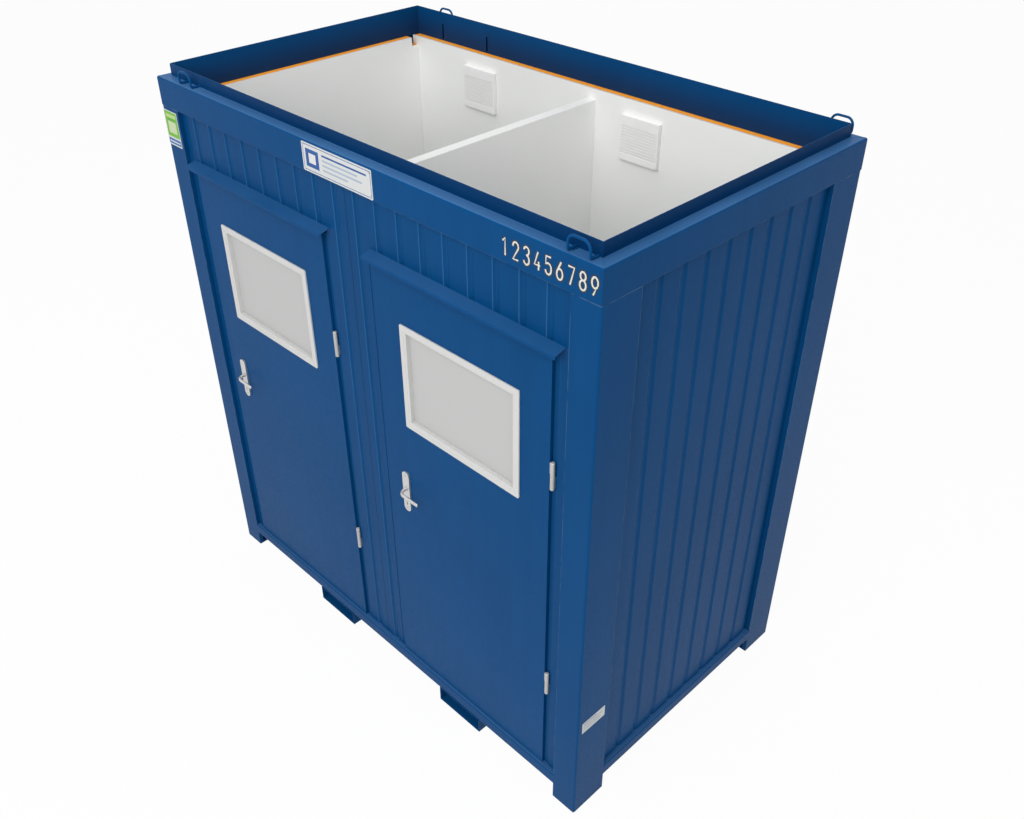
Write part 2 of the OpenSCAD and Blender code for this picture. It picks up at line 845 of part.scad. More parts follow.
module vent_covers() {
  color([0.93, 0.93, 0.91]) for (x = [vent_left_x, vent_right_x]) {
    translate([x, in_y, vent_z]) louvre(vent_d);
  }
}

module vent_grilles() {
  color([0.06, 0.22, 0.46]) for (x = [vent_left_x, vent_right_x]) {
    translate([x, wall_y, vent_z]) mirror([0, 1, 0]) louvre(12);
  }
}

module water_pipe() {
  r = pipe_bend;
  flange_t = 5;
  reach = in_y - pipe_y;
  color([0.8, 0.45, 0.25]) {
    translate([feed_x - toilet_x, pipe_y, 0]) {
      translate([0, 0, pipe_z + r]) cylinder(r = pipe_r, h = rim_z - pipe_z - r);
      translate([r, 0, pipe_z + r]) rotate([90, 0, 0]) bend(pipe_r, r, 180, 90);
      translate([r, 0, pipe_z]) rotate([0, 90, 0]) cylinder(r = pipe_r, h = 2 * (toilet_x - r));
      translate([2 * toilet_x - r, 0, pipe_z + r]) rotate([90, 0, 0]) bend(pipe_r, r, 270, 90);
      translate([2 * toilet_x, 0, pipe_z + r]) cylinder(r = pipe_r, h = rim_z - pipe_z - r);
    }
    translate([inlet_x, pipe_y, pipe_z]) rotate([-90, 0, 0]) {
      cylinder(r = pipe_r - 2, h = reach);
      translate([0, 0, reach - flange_t]) cylinder(r = inlet_r + 6, h = flange_t);
      cylinder(r = inlet_r - 1, h = reach + wall_t + spigot_gap);
      translate([0, 0, reach + wall_t + spigot_gap]) cylinder(r = inlet_r, h = spigot_l);
    }
  }
}

module waste_stubs() {
  color([0.35, 0.36, 0.38]) for (x = [-toilet_x, toilet_x]) {
    translate([x, in_y - pan_back, waste_z]) rotate([-90, 0, 0]) difference() {
      union() {
        cylinder(r = waste_r - 1, h = pan_back + wall_t + spigot_gap);
        translate([0, 0, pan_back + wall_t + spigot_gap]) cylinder(r = waste_r, h = spigot_l);
      }
      translate([0, 0, -1]) cylinder(r = waste_r - 5, h = body_w);
    }
  }
}

// Pan with its bowl, drain and the hinge rod of seat and lid; y = 0 is the rear lining.
module toilet_pan(x) {
  color([0.96, 0.96, 0.95]) translate([x, in_y, rail_top]) difference() {
    union() {
      translate([0, -bowl_y, 0]) rotate_extrude() polygon([
        [0, 0], [130, 0], [130, 20], [112, 60], [118, 160], [pan_r, pan_h - 50], [pan_r, pan_h], [0, pan_h]
      ]);
      translate([-110, -bowl_y, 0]) cube([220, bowl_y - pan_back, pan_h]);
      for (s = [-1, 1]) {
        translate([s * 75 - 5, -seat_y - 5, pan_h - 1]) cube([10, 10, hinge_z - rim_z + 1]);
      }
      translate([-90, -seat_y, pan_h + hinge_z - rim_z]) rotate([0, 90, 0]) cylinder(r = 5, h = 180);
    }
    translate([0, -bowl_y, 0]) rotate_extrude() polygon([
      [0, 150], [50, 150], [70, 190], [120, pan_h - 90], [pan_r - 38, pan_h - 12],
      [pan_r - 38, pan_h + 1], [0, pan_h + 1]
    ]);
    translate([0, -bowl_y, waste_z - rail_top]) {
      cylinder(r = 40, h = 152 + rail_top - waste_z);
      rotate([-90, 0, 0]) cylinder(r = waste_r - 10, h = bowl_y);
    }
  }
}

module seat_outline() {
  difference() {
    translate([0, seat_y - bowl_y]) circle(r = pan_r + 2);
    translate([-pan_r - 5, -plate_back]) square([2 * pan_r + 10, 2 * pan_r]);
  }
}

// Hinge fittings of seat or lid from x to x + w, which end just behind the plate, between low and top.
module seat_lug(x, w, low, top) {
  for (s = [0, 1]) {
    mirror([s, 0, 0]) translate([x, 0, 0]) {
      rotate([0, 90, 0]) cylinder(r = lug_r, h = w);
      translate([0, fit_gap - plate_back, low]) cube([w, plate_back - fit_gap, top - low]);
    }
  }
}

module lug_bores() {
  translate([-100, 0, 0]) rotate([0, 90, 0]) cylinder(r = 5 + bearing_gap, h = 200);
}

module toilet_seat(x) {
  low = seat_low - hinge_z + rim_z;
  color([0.95, 0.95, 0.94]) translate([x, in_y - seat_y, hinge_z]) difference() {
    union() {
      translate([0, 0, low]) linear_extrude(seat_t) difference() {
        seat_outline();
        translate([0, seat_y - bowl_y - 8]) circle(r = pan_r - 62);
      }
      seat_lug(81, 8, low + 4, low + seat_t);
    }
    lug_bores();
  }
}

module toilet_lid(x) {
  low = lid_low - hinge_z + rim_z;
  color([0.95, 0.95, 0.94]) translate([x, in_y - seat_y, hinge_z]) rotate([-lid_open, 0, 0]) difference() {
    union() {
      translate([0, 0, low]) linear_extrude(lid_t) seat_outline();
      seat_lug(60, 9, low, low + 6);
    }
    lug_bores();
  }
}

module cistern(x) {
  wall = 8;
  color([0.96, 0.96, 0.95]) translate([x - cistern_w / 2, in_y - cistern_d, rim_z]) difference() {
    cube([cistern_w, cistern_d, cistern_h]);
    translate([wall, wall, wall]) cube([cistern_w - 2 * wall, cistern_d - 2 * wall, cistern_h - 2 * wall]);
    translate([cistern_w / 2, cistern_d / 2, cistern_h - 2 * wall]) cylinder(r = button_r + free_gap, h = 3 * wall);
  }
}

module flush_button(x) {
  color([0.78, 0.79, 0.8]) translate([x, in_y - cistern_d / 2, rim_z + cistern_h]) {
    translate([0, 0, -10]) cylinder(r = button_r, h = 16);
    translate([0, 0, -14 - free_gap]) cylinder(r = button_r + 6, h = 6);
  }
}

module paper_holders() {
  slot_w = 60;
  color([0.9, 0.9, 0.89]) for (s = [0, 1]) {
    mirror([s, 0, 0]) translate([part_t / 2, holder_y, rail_top + holder_z]) rotate([0, 90, 0]) difference() {
      cylinder(r = holder_r, h = holder_d);
      translate([holder_r - 33, -slot_w / 2, 10]) cube([slot_w, slot_w, holder_d - 20]);
    }
  }
}

mirror([1, 0, 0]) post();  // post_front_left
post();  // post_front_right
rotate([0, 0, 180]) post();  // post_rear_left
mirror([0, 1, 0]) post();  // post_rear_right
long_rail();  // floor_rail_front
rotate([0, 0, 180]) long_rail();  // floor_rail_rear
rotate([0, 0, -90]) end_rail();  // floor_rail_left
rotate([0, 0, 90]) end_rail();  // floor_rail_right
fork_pocket(pocket_left_x);  // fork_pocket_left
fork_pocket(pocket_right_x);  // fork_pocket_right
floor_joists();
floor_deck();
roof_rail(body_l, half_w);  // roof_rail_front
roof_rear();  // roof_rail_rear
rotate([0, 0, -90]) roof_rail(body_w, half_l);  // roof_rail_left
rotate([0, 0, 90]) roof_rail(body_w, half_l);  // roof_rail_right
lifting_eyes();
cladding_front();
cladding_rear();
cladding_left();
cladding_right();
wall_insulation();
lining_front();
lining_rear();
lining_ends();
partition_wall();
door_frame(door_left_x);  // door_frame_left
door_frame(door_right_x);  // door_frame_right
door_seals();
door_canopies();
hinge_pins();
vent_covers();
vent_grilles();
water_pipe();
waste_stubs();
toilet_pan(-toilet_x);  // toilet_pan_left
toilet_pan(toilet_x);  // toilet_pan_right
cistern(-toilet_x);  // cistern_left
cistern(toilet_x);  // cistern_right
paper_holders();
door_leaf(door_left_x);  // door_leaf_left
window_frame(door_left_x);  // window_frame_left
window_pane(door_left_x);  // window_pane_left
hinge_knuckles(door_left_x);  // hinge_knuckles_left
lock_plates(door_left_x);  // lock_plates_left
door_handle(door_left_x);  // door_handle_left
latch_bolt(door_left_x);  // latch_bolt_left
door_leaf(door_right_x);  // door_leaf_right
window_frame(door_right_x);  // window_frame_right
window_pane(door_right_x);  // window_pane_right
hinge_knuckles(door_right_x);  // hinge_knuckles_right
lock_plates(door_right_x);  // lock_plates_right
door_handle(door_right_x);  // door_handle_right
latch_bolt(door_right_x);  // latch_bolt_right
toilet_seat(-toilet_x);  // toilet_seat_left
toilet_lid(-toilet_x);  // toilet_lid_left
flush_button(-toilet_x);  // flush_button_left
toilet_seat(toilet_x);  // toilet_seat_right
toilet_lid(toilet_x);  // toilet_lid_right
flush_button(toilet_x);  // flush_button_right
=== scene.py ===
import math
from itertools import product
import bpy
import bmesh
from mathutils import Matrix, Vector


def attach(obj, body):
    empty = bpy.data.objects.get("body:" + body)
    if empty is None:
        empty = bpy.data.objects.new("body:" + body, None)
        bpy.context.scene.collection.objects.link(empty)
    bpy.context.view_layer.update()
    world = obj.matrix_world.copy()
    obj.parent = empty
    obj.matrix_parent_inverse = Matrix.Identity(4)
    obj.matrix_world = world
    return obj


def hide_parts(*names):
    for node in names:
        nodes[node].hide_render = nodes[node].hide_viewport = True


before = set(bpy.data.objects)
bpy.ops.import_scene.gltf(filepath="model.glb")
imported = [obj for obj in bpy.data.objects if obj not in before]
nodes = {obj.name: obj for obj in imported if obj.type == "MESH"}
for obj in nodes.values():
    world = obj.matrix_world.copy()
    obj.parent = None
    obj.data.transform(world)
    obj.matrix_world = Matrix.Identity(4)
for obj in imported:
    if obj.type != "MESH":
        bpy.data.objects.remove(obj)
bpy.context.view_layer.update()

print("frame loaded:", len(nodes), "nodes")

# The two cubicles: side of the origin, middle of the door, middle of the toilet
cubicles = {
    "left": {"side": -1, "door": -0.598, "toilet": -0.568},
    "right": {"side": 1, "door": 0.571, "toilet": 0.568},
}
# Planes that several pieces sit on, in metres
planes = {"frontBand": -0.700, "rearCladding": 0.680, "rearLining": 0.615, "floor": 0.139, "roofFlange": 2.490,
          "roofTop": 2.540}

# The camera's place, lens and axes were solved from the photo
camera = {"place": (2.7628, -2.6037, 3.7565), "lens": 35.69, "sensor": 36.0, "far": 60.0,
          "right": (0.70538, 0.70883, -0.00127), "down": (0.40784, -0.40732, -0.81716),
          "ahead": (-0.57975, 0.57589, -0.57641)}


def placeCamera():
    shot = bpy.data.objects.new("photoCamera", bpy.data.cameras.new("photoCamera"))
    bpy.context.scene.collection.objects.link(shot)
    shot.data.lens = camera["lens"]
    shot.data.sensor_width = camera["sensor"]
    shot.data.clip_end = camera["far"]
    turn = Matrix((Vector(camera["right"]), -Vector(camera["down"]), -Vector(camera["ahead"]))).transposed()
    shot.matrix_world = Matrix.Translation(camera["place"]) @ turn.to_4x4()
    bpy.context.scene.camera = shot


placeCamera()
bpy.context.scene.view_settings.view_transform = "Standard"
print("camera placed")


# Shader maths: a wire is one socket, and plain operators on it add Math nodes
class Wire:
    def __init__(self, finish, socket):
        self.finish = finish
        self.socket = socket

    def maths(self, operation, *others, first=None):
        values = (self, *others) if first is None else (first, self)
        return self.finish.node("ShaderNodeMath", {"operation": operation}, dict(enumerate(values)))

    def __add__(self, other):
        return self.maths("ADD", other)

    def __sub__(self, other):
        return self.maths("SUBTRACT", other)

    def __rsub__(self, other):
        return self.maths("SUBTRACT", first=other)

    def __mul__(self, other):
        return self.maths("MULTIPLY", other)

    def __mod__(self, other):
        return self.maths("MODULO", other)

    def __abs__(self):
        return self.maths("ABSOLUTE")

    def above(self, level):
        return self.maths("GREATER_THAN", level)

    def below(self, level):
        return self.maths("LESS_THAN", level)

    def most(self, other):
        return self.maths("MAXIMUM", other)

    def within(self, low, high):
        return self.above(low) * self.below(high)

    def spread(self, low, high, newLow=0.0, newHigh=1.0):
        return self.finish.node("ShaderNodeMapRange", {"clamp": True},
                                {0: self, 1: low, 2: high, 3: newLow, 4: newHigh})


class Finish:
    def __init__(self, name, tree=None):
        self.spots = {}
        if not tree:
            self.material = bpy.data.materials.new(name)
            self.material.use_nodes = True
        self.tree = tree or self.material.node_tree
        self.tree.nodes.clear()
        if not tree:
            self.shader = self.node("ShaderNodeBsdfPrincipled").socket.node
            self.end = self.tree.nodes.new("ShaderNodeOutputMaterial")
            self.tree.links.new(self.shader.outputs[0], self.end.inputs[0])

    # Any node: its settings are set first, then its sockets get values or wires
    def node(self, kind, settings=None, sockets=None, output=0):
        made = self.tree.nodes.new(kind)
        for key, value in (settings or {}).items():
            if key == "stops":
                self.fillRamp(made.color_ramp, value)
            else:
                setattr(made, key, value)
        for key, value in (sockets or {}).items():
            self.feed(made.inputs[key], value)
        return Wire(self, made.outputs[output]) if len(made.outputs) else made

    def fillRamp(self, ramp, stops):
        ramp.elements.remove(ramp.elements[-1])
        for i, (at, colour) in enumerate(stops):
            stop = ramp.elements.new(at) if i else ramp.elements[0]
            stop.position = at
            stop.color = (*colour, 1.0)

    def feed(self, socket, value):
        if isinstance(value, Wire):
            self.tree.links.new(value.socket, socket)
        elif isinstance(value, tuple) and len(value) == 3 and socket.type == "RGBA":
            socket.default_value = (*value, 1.0)
        else:
            socket.default_value = value

    def coat(self, **values):
        for name, value in values.items():
            self.feed(self.shader.inputs[socketNames[name]], value)
        return self.material

    def place(self):
        if "place" not in self.spots:
            self.spots["place"] = self.node("ShaderNodeTexCoord", output="Object")
        return self.spots["place"]

    def axes(self):
        if "axes" not in self.spots:
            parts = self.node("ShaderNodeSeparateXYZ", sockets={0: self.place()})
            self.spots["axes"] = [Wire(self, s) for s in parts.socket.node.outputs]
        return self.spots["axes"]

    def grain(self, scale, detail=2.0, stretch=(1.0, 1.0, 1.0), kind="ShaderNodeTexNoise", output=0):
        spot = self.place()
        if stretch != (1.0, 1.0, 1.0):
            spot = self.node("ShaderNodeMapping", sockets={"Vector": spot, "Scale": stretch})
        sockets = {"Vector": spot, "Scale": scale}
        if kind == "ShaderNodeTexNoise":
            sockets["Detail"] = detail
        return self.node(kind, sockets=sockets, output=output)

    # Slow change from place to place, between 0 and 1
    def cloud(self, scale, detail=3.0):
        return self.grain(scale, detail).spread(0.3, 0.7)

    def blend(self, share, first, second, way="MIX"):
        return self.node("ShaderNodeMix", {"data_type": "RGBA", "blend_type": way},
                         {0: share, 6: first, 7: second}, output=2)

    # Rays that show the white background: from the camera, off gloss and through glass
    def seen(self):
        rays = self.node("ShaderNodeLightPath").socket.node.outputs
        kinds = [Wire(self, rays[kind]) for kind in ("Is Camera Ray", "Is Glossy Ray", "Is Transmission Ray")]
        return kinds[0].most(kinds[1]).most(kinds[2])

    # Ambient occlusion, which the finishes use to paint shade into corners and crevices
    def nook(self, reach):
        return self.node("ShaderNodeAmbientOcclusion", {"samples": 5}, {"Distance": reach}, output="AO")

    def bump(self, height, strength, distance=0.001):
        return self.node("ShaderNodeBump", sockets={"Height": height, "Strength": strength, "Distance": distance})


socketNames = {"colour": "Base Color", "rough": "Roughness", "metal": "Metallic", "normal": "Normal",
               "coatWeight": "Coat Weight", "coatRough": "Coat Roughness", "shine": "Specular IOR Level"}

# Soft key from the front, weaker lamps above and at the right end
lights = {
    "sky": 0.45, "skyColour": (1.0, 1.0, 0.995),
    "lamps": {
        "keyLamp": {"place": (2.2, -6.8, 6.8), "aim": (0, 0, 1.5), "size": 6.0, "power": 515,
                    "colour": (1.0, 0.99, 0.98)},
        "topLamp": {"place": (-0.4, -0.2, 7.6), "aim": (0, 0, 0), "size": 5.0, "power": 100,
                    "colour": (1.0, 1.0, 1.0)},
        "fillLamp": {"place": (6.5, -1.5, 6.0), "aim": (0, 0, 1.5), "size": 5.0, "power": 70,
                     "colour": (1.0, 1.0, 1.0)},
    },
}
floorLook = {"size": 60.0, "level": -0.0005, "white": 0.86, "rough": 0.9, "lift": 0.955}


def studioFloor():
    bpy.ops.object.select_all(action="DESELECT")
    bpy.ops.mesh.primitive_plane_add(size=floorLook["size"], location=(0, 0, floorLook["level"]))
    floor = bpy.context.active_object
    floor.name = "studioFloor"
    look = Finish("studioFloorPaint")
    look.coat(colour=(floorLook["white"],) * 3, rough=floorLook["rough"], shine=0.0)
    glow = look.node("ShaderNodeEmission", sockets={"Color": (1.0, 1.0, 1.0), "Strength": 1.0})
    mixed = look.node("ShaderNodeMixShader", sockets={
        0: look.seen() * floorLook["lift"], 1: Wire(look, look.shader.outputs[0]), 2: glow})
    look.tree.links.new(mixed.socket, look.end.inputs[0])
    floor.data.materials.append(look.material)


def studioSky():
    sky = bpy.data.worlds.new("studioSky")
    bpy.context.scene.world = sky
    sky.use_nodes = True
    air = Finish("studioSky", sky.node_tree)
    soft = air.node("ShaderNodeBackground", sockets={"Color": lights["skyColour"], "Strength": lights["sky"]})
    white = air.node("ShaderNodeBackground", sockets={"Color": (1.0, 1.0, 1.0), "Strength": 1.0})
    mixed = air.node("ShaderNodeMixShader", sockets={0: air.seen(), 1: soft, 2: white})
    air.node("ShaderNodeOutputWorld", sockets={0: mixed})


def studioLamp(name, lamp):
    light = bpy.data.lights.new(name, "AREA")
    light.energy = lamp["power"]
    light.size = lamp["size"]
    light.color = lamp["colour"]
    holder = bpy.data.objects.new(name, light)
    bpy.context.scene.collection.objects.link(holder)
    holder.location = lamp["place"]
    aim = Vector(lamp["aim"]) - Vector(lamp["place"])
    holder.rotation_euler = aim.to_track_quat("-Z", "Y").to_euler()


studioFloor()
studioSky()
for name, lamp in lights["lamps"].items():
    studioLamp(name, lamp)
print("stage set")

# Blue paint: its colours, linear, and where they change, in metres
# Painted shade: the colours for corners, the rails' inner skin and the upstands' outer face. Painted highlights: those
# for the floor ledge, the groove lines, the upper sides and the weld seams
paint = {"body": (0.0016, 0.057, 0.184), "inside": (0.0085, 0.029, 0.090), "outside": (0.001, 0.028, 0.102),
         "fold": (0.055, 0.150, 0.330), "sheen": (0.12, 0.27, 0.52), "nook": (0.003, 0.032, 0.115),
         "splash": (0.09, 0.12, 0.16), "joint": (0.001, 0.008, 0.025), "weld": (0.10, 0.17, 0.28),
         "roughness": 0.38, "shine": 0.045}
spots = {"railSeam": 2.372, "fine": 0.0013, "postEdge": (1.0835, 0.5225), "postFace": (1.1985, 0.6985),
         "postRun": (0.15, 2.37), "insideRail": (1.1535, 0.6535), "wallTop": 2.405, "upstand": (2.4925, 2.5395),
         "outsideRail": (1.1545, 0.6545), "flange": (2.4885, 2.4912), "floorLedge": (0.1375, 0.1405),
         "ledgeEnds": (1.1992, 0.6992), "canopyHigh": (2.147, 2.1705), "canopyDeep": (-0.7275, -0.681),
         "canopyEnd": 1.0555, "pitch": 0.116, "fold": 0.0028, "foldFront": 0.077, "foldShift": 0.004,
         "foldEnd": 0.034, "cladding": (1.1785, 0.6785), "panelJoint": 0.0014}


def outside(look, limits):
    x, y, z = look.axes()
    return abs(x).above(limits[0]).most(abs(y).above(limits[1]))


def inside(look, limits):
    x, y, z = look.axes()
    return abs(x).below(limits[0]) * abs(y).below(limits[1])


# Painted highlight along the weld seams: under the roof rails and along the inner edges of the posts
def weldLines(look):
    x, y, z = look.axes()
    across, deep = spots["postEdge"]
    front = abs(abs(x) - across).below(spots["fine"]) * abs(y).above(spots["postFace"][1])
    side = abs(abs(y) - deep).below(spots["fine"]) * abs(x).above(spots["postFace"][0])
    rails = abs(z - spots["railSeam"]).below(spots["fine"])
    return rails.most(front.most(side) * z.within(*spots["postRun"]) * 0.6)


# Painted shade on the inner skin of the roof rails, above the walls, darkest low down
def insideRail(look):
    z = look.axes()[2]
    return inside(look, spots["insideRail"]) * z.above(spots["wallTop"]) * z.spread(2.44, 2.525, 0.9, 0.1)


# Painted shade on the upstand's outer face, paler towards the left end
def outsideUpstand(look):
    x, y, z = look.axes()
    return outside(look, spots["outsideRail"]) * z.within(*spots["upstand"]) * x.spread(-1.3, -0.5, 0.35, 0.85)


# Painted highlight on the ledge on the floor rails, below the walls, lighter where it lies in shade
def floorLedge(look):
    return look.axes()[2].within(*spots["floorLedge"]) * inside(look, spots["ledgeEnds"]) * 0.55


# Painted highlight: a light line along one side of each groove in the cladding
def foldLine(look):
    x, y, z = look.axes()
    far = 20 * spots["pitch"]
    shift = x.above(0.0) * spots["foldShift"]
    along = ((x + far + spots["foldFront"] - shift) % spots["pitch"]).below(spots["fold"])
    across = ((y + far - spots["foldEnd"]) % spots["pitch"]).below(spots["fold"])
    along = along * abs(y).above(spots["cladding"][1])
    return along.most(across * abs(x).above(spots["cladding"][0])) * 0.5


# Painted sheen: the upper sides of the roof rails and the canopies are lighter, as if lit from above
def ledgeDust(look):
    x, y, z = look.axes()
    flange = z.within(*spots["flange"]) * outside(look, spots["outsideRail"])
    canopy = z.within(*spots["canopyHigh"]) * y.within(*spots["canopyDeep"]) * abs(x).below(spots["canopyEnd"])
    return flange.most(canopy * 0.4)


def bluePaint(name, tone=1.0, waves=0.25, rails=False, cladding=False):
    look = Finish(name)
    x, y, z = look.axes()
    drift = look.grain(1.4, 3.0)
    streaks = look.grain(16.0, 3.0, (1.0, 1.0, 0.05))
    wave, peel = look.grain(5.0, 1.0), look.grain(520.0, 1.0)
    shade = drift.spread(0.3, 0.7, -0.05, 0.05) + streaks.spread(0.35, 0.65, -0.025, 0.025) + 1.0
    shades = look.node("ShaderNodeCombineXYZ", sockets={0: shade, 1: shade, 2: shade})
    colour = look.blend(1.0, tuple(c * tone for c in paint["body"]), shades, "MULTIPLY")
    # painted shade in corners, and dirt low down where rain splashes
    low = z.spread(0.05, 0.55, 1.0, 0.0) * drift.spread(0.35, 0.75)
    layers = [((1.0 - look.nook(0.03)) * 0.10, "nook"), (low * 0.04, "splash")]
    # painted shade inside the rails and on the upstands, and a painted highlight on the floor ledge
    if rails:
        layers += [(insideRail(look), "inside"), (outsideUpstand(look), "outside"), (floorLedge(look), "fold")]
    # painted sheen on the upper sides
    layers.append((ledgeDust(look) * drift.spread(0.35, 0.65, 0.22, 0.40), "sheen"))
    # dark panel joints, and painted highlights along the grooves
    if cladding:
        layers += [(abs(x).below(spots["panelJoint"]), "joint"), (foldLine(look), "fold")]
    # painted highlights along the weld seams
    layers.append((weldLines(look) * look.grain(21.0, 1.0).spread(0.34, 0.55) * 0.8, "weld"))
    for share, tint in layers:
        colour = look.blend(share, colour, paint[tint])
    rough = look.grain(60.0, 3.0).spread(0.3, 0.7, paint["roughness"] - 0.05, paint["roughness"] + 0.07)
    return look.coat(colour=colour, rough=rough, normal=look.bump(wave * waves + peel * 0.012, 0.5, 0.004),
                     shine=paint["shine"])


# cap: the height above which the top is painted grey, and that grey
def whiteBoard(name, colour, cap):
    look = Finish(name)
    tint = look.blend(look.cloud(2.2) * 0.5, colour, tuple(c * 0.965 for c in colour))
    # painted shade in corners
    tint = look.blend((1.0 - look.nook(0.22)) * 0.09, tint, (0.50, 0.50, 0.47))
    tint = look.blend(look.axes()[2].above(cap[0]), tint, (cap[1],) * 3)
    return look.coat(colour=tint, rough=look.grain(30.0).spread(0.3, 0.7, 0.42, 0.52),
                     normal=look.bump(look.grain(700.0), 0.12, 0.0006))


def plainFinish(name, colour, rough, metal=0.0, peel=0.02, scale=400.0, stretch=(1.0, 1.0, 1.0), change=0.05,
                coat=0.0, reach=0.0, creviceTint=None, shine=0.5):
    look = Finish(name)
    grain = look.grain(scale, 3.0, stretch)
    tint = look.blend(look.cloud(9.0), colour, tuple(min(1.0, c * (1.0 - change)) for c in colour))
    # reach: crevices are painted towards the given tint, as painted shade; for the window white that tint is lighter, a
    # painted highlight
    if reach:
        tint = look.blend((1.0 - look.nook(reach)) * 0.6, tint, creviceTint or tuple(c * 0.45 for c in colour))
    return look.coat(colour=tint, rough=grain.spread(0.3, 0.7, rough * 0.85, rough * 1.2), metal=metal,
                     normal=look.bump(grain, peel * 4, 0.0008), coatWeight=coat, coatRough=0.06, shine=shine)


def foamFinish():
    look = Finish("orangeFoam")
    cells = look.grain(420.0, kind="ShaderNodeTexVoronoi", output="Distance")
    tint = look.blend(look.cloud(60.0), (0.95, 0.38, 0.032), (0.88, 0.31, 0.022))
    tint = look.blend(cells.spread(0.0, 0.35), (0.66, 0.20, 0.014), tint)
    return look.coat(colour=tint, rough=0.85, normal=look.bump(cells, 0.5, 0.001), shine=0.2)


def plyFinish():
    look = Finish("sealedPly")
    rings = look.grain(5.0, 4.0, (1.0, 9.0, 9.0))
    fibre = look.grain(120.0, 3.0, (0.06, 1.0, 1.0))
    stops = [(0.25, (0.20, 0.115, 0.055)), (0.5, (0.33, 0.21, 0.11)), (0.75, (0.42, 0.29, 0.17))]
    tint = look.node("ShaderNodeValToRGB", {"stops": stops}, {0: rings * 0.7 + fibre * 0.3})
    return look.coat(colour=tint, rough=fibre.spread(0.3, 0.7, 0.5, 0.65), normal=look.bump(fibre, 0.25, 0.0008))


def vinylFinish():
    look = Finish("floorVinyl")
    specks = look.grain(230.0, kind="ShaderNodeTexVoronoi", output="Color")
    pick = look.node("ShaderNodeSeparateXYZ", sockets={0: specks})
    tint = look.blend(pick.above(0.86), (0.20, 0.21, 0.22), (0.40, 0.41, 0.42))
    tint = look.blend(look.cloud(4.0) * 0.35, tint, (0.13, 0.135, 0.14))
    return look.coat(colour=tint, rough=look.grain(80.0).spread(0.3, 0.7, 0.40, 0.55),
                     normal=look.bump(look.grain(600.0), 0.15, 0.0005))


def opalFinish():
    look = Finish("opalPane")
    ripple = look.grain(60.0)
    tint = look.blend(look.cloud(3.0, 2.0) * 0.3, (0.48, 0.481, 0.482), (0.47, 0.471, 0.474))
    # painted shade round the pane's edges and corners
    tint = look.blend((1.0 - look.nook(0.045)) * 0.5, tint, (0.46, 0.47, 0.455))
    return look.coat(colour=tint, rough=ripple.spread(0.3, 0.7, 0.28, 0.31), shine=0.22,
                     normal=look.bump(ripple, 0.005, 0.0002))


def copperFinish():
    look = Finish("drawnCopper")
    stain = look.grain(14.0, 4.0).spread(0.45, 0.7)
    tint = look.blend(stain, (0.74, 0.36, 0.22), (0.36, 0.16, 0.09))
    return look.coat(colour=tint, rough=look.grain(90.0).spread(0.3, 0.7, 0.22, 0.38), metal=1.0,
                     normal=look.bump(stain, 0.1, 0.0005))


# Generic prints: plain boxes only, each with its ink, its ends and its low and high edge
inks = {"ground": (0.60, 0.62, 0.62), "light": (0.66, 0.665, 0.66), "blue": (0.020, 0.085, 0.30),
        "pale": (0.35, 0.42, 0.52), "green": (0.15, 0.43, 0.03), "deep": (0.07, 0.28, 0.05),
        "lime": (0.46, 0.60, 0.26), "mint": (0.52, 0.62, 0.38), "navy": (0.03, 0.12, 0.36),
        "mist": (0.60, 0.64, 0.70), "slate": (0.06, 0.14, 0.32), "grey": (0.30, 0.34, 0.40), "worn": (0.45, 0.45, 0.44)}
plateMarks = [("blue", -0.1925, 0.188, 2.3815, 2.4765), ("ground", -0.190, 0.1855, 2.384, 2.474),
              ("blue", -0.178, -0.102, 2.396, 2.462), ("light", -0.160, -0.120, 2.411, 2.447),
              ("blue", -0.082, 0.165, 2.453, 2.460), ("pale", -0.082, 0.115, 2.4355, 2.4425),
              ("pale", -0.082, 0.140, 2.418, 2.425), ("pale", -0.082, 0.060, 2.4005, 2.4075)]
noticeMarks = [("green", -1.192, -1.0995, 2.246, 2.353), ("lime", -1.183, -1.109, 2.328, 2.342),
               ("mint", -1.177, -1.115, 2.262, 2.312), ("deep", -1.177, -1.115, 2.3175, 2.3215),
               ("navy", -1.192, -1.0995, 2.214, 2.238), ("mist", -1.186, -1.106, 2.222, 2.228)]
labelMarks = [("slate", -0.668, -0.592, 0.534, 0.538), ("grey", -0.668, -0.560, 0.5222, 0.5258),
              ("grey", -0.668, -0.575, 0.5112, 0.5148), ("grey", -0.668, -0.568, 0.5002, 0.5038)]


def printed(name, marks, axis=0):
    look = Finish(name)
    across, up = look.axes()[axis], look.axes()[2]
    colour = inks["ground"]
    for ink, first, last, low, high in marks:
        colour = look.blend(across.within(first, last) * up.within(low, high), colour, inks[ink])
    worn = look.cloud(40.0)
    colour = look.blend(worn * 0.06, colour, inks["worn"])
    return look.coat(colour=colour, rough=worn.spread(0.0, 1.0, 0.315, 0.42), shine=0.12,
                     normal=look.bump(look.grain(300.0), 0.05, 0.0004))
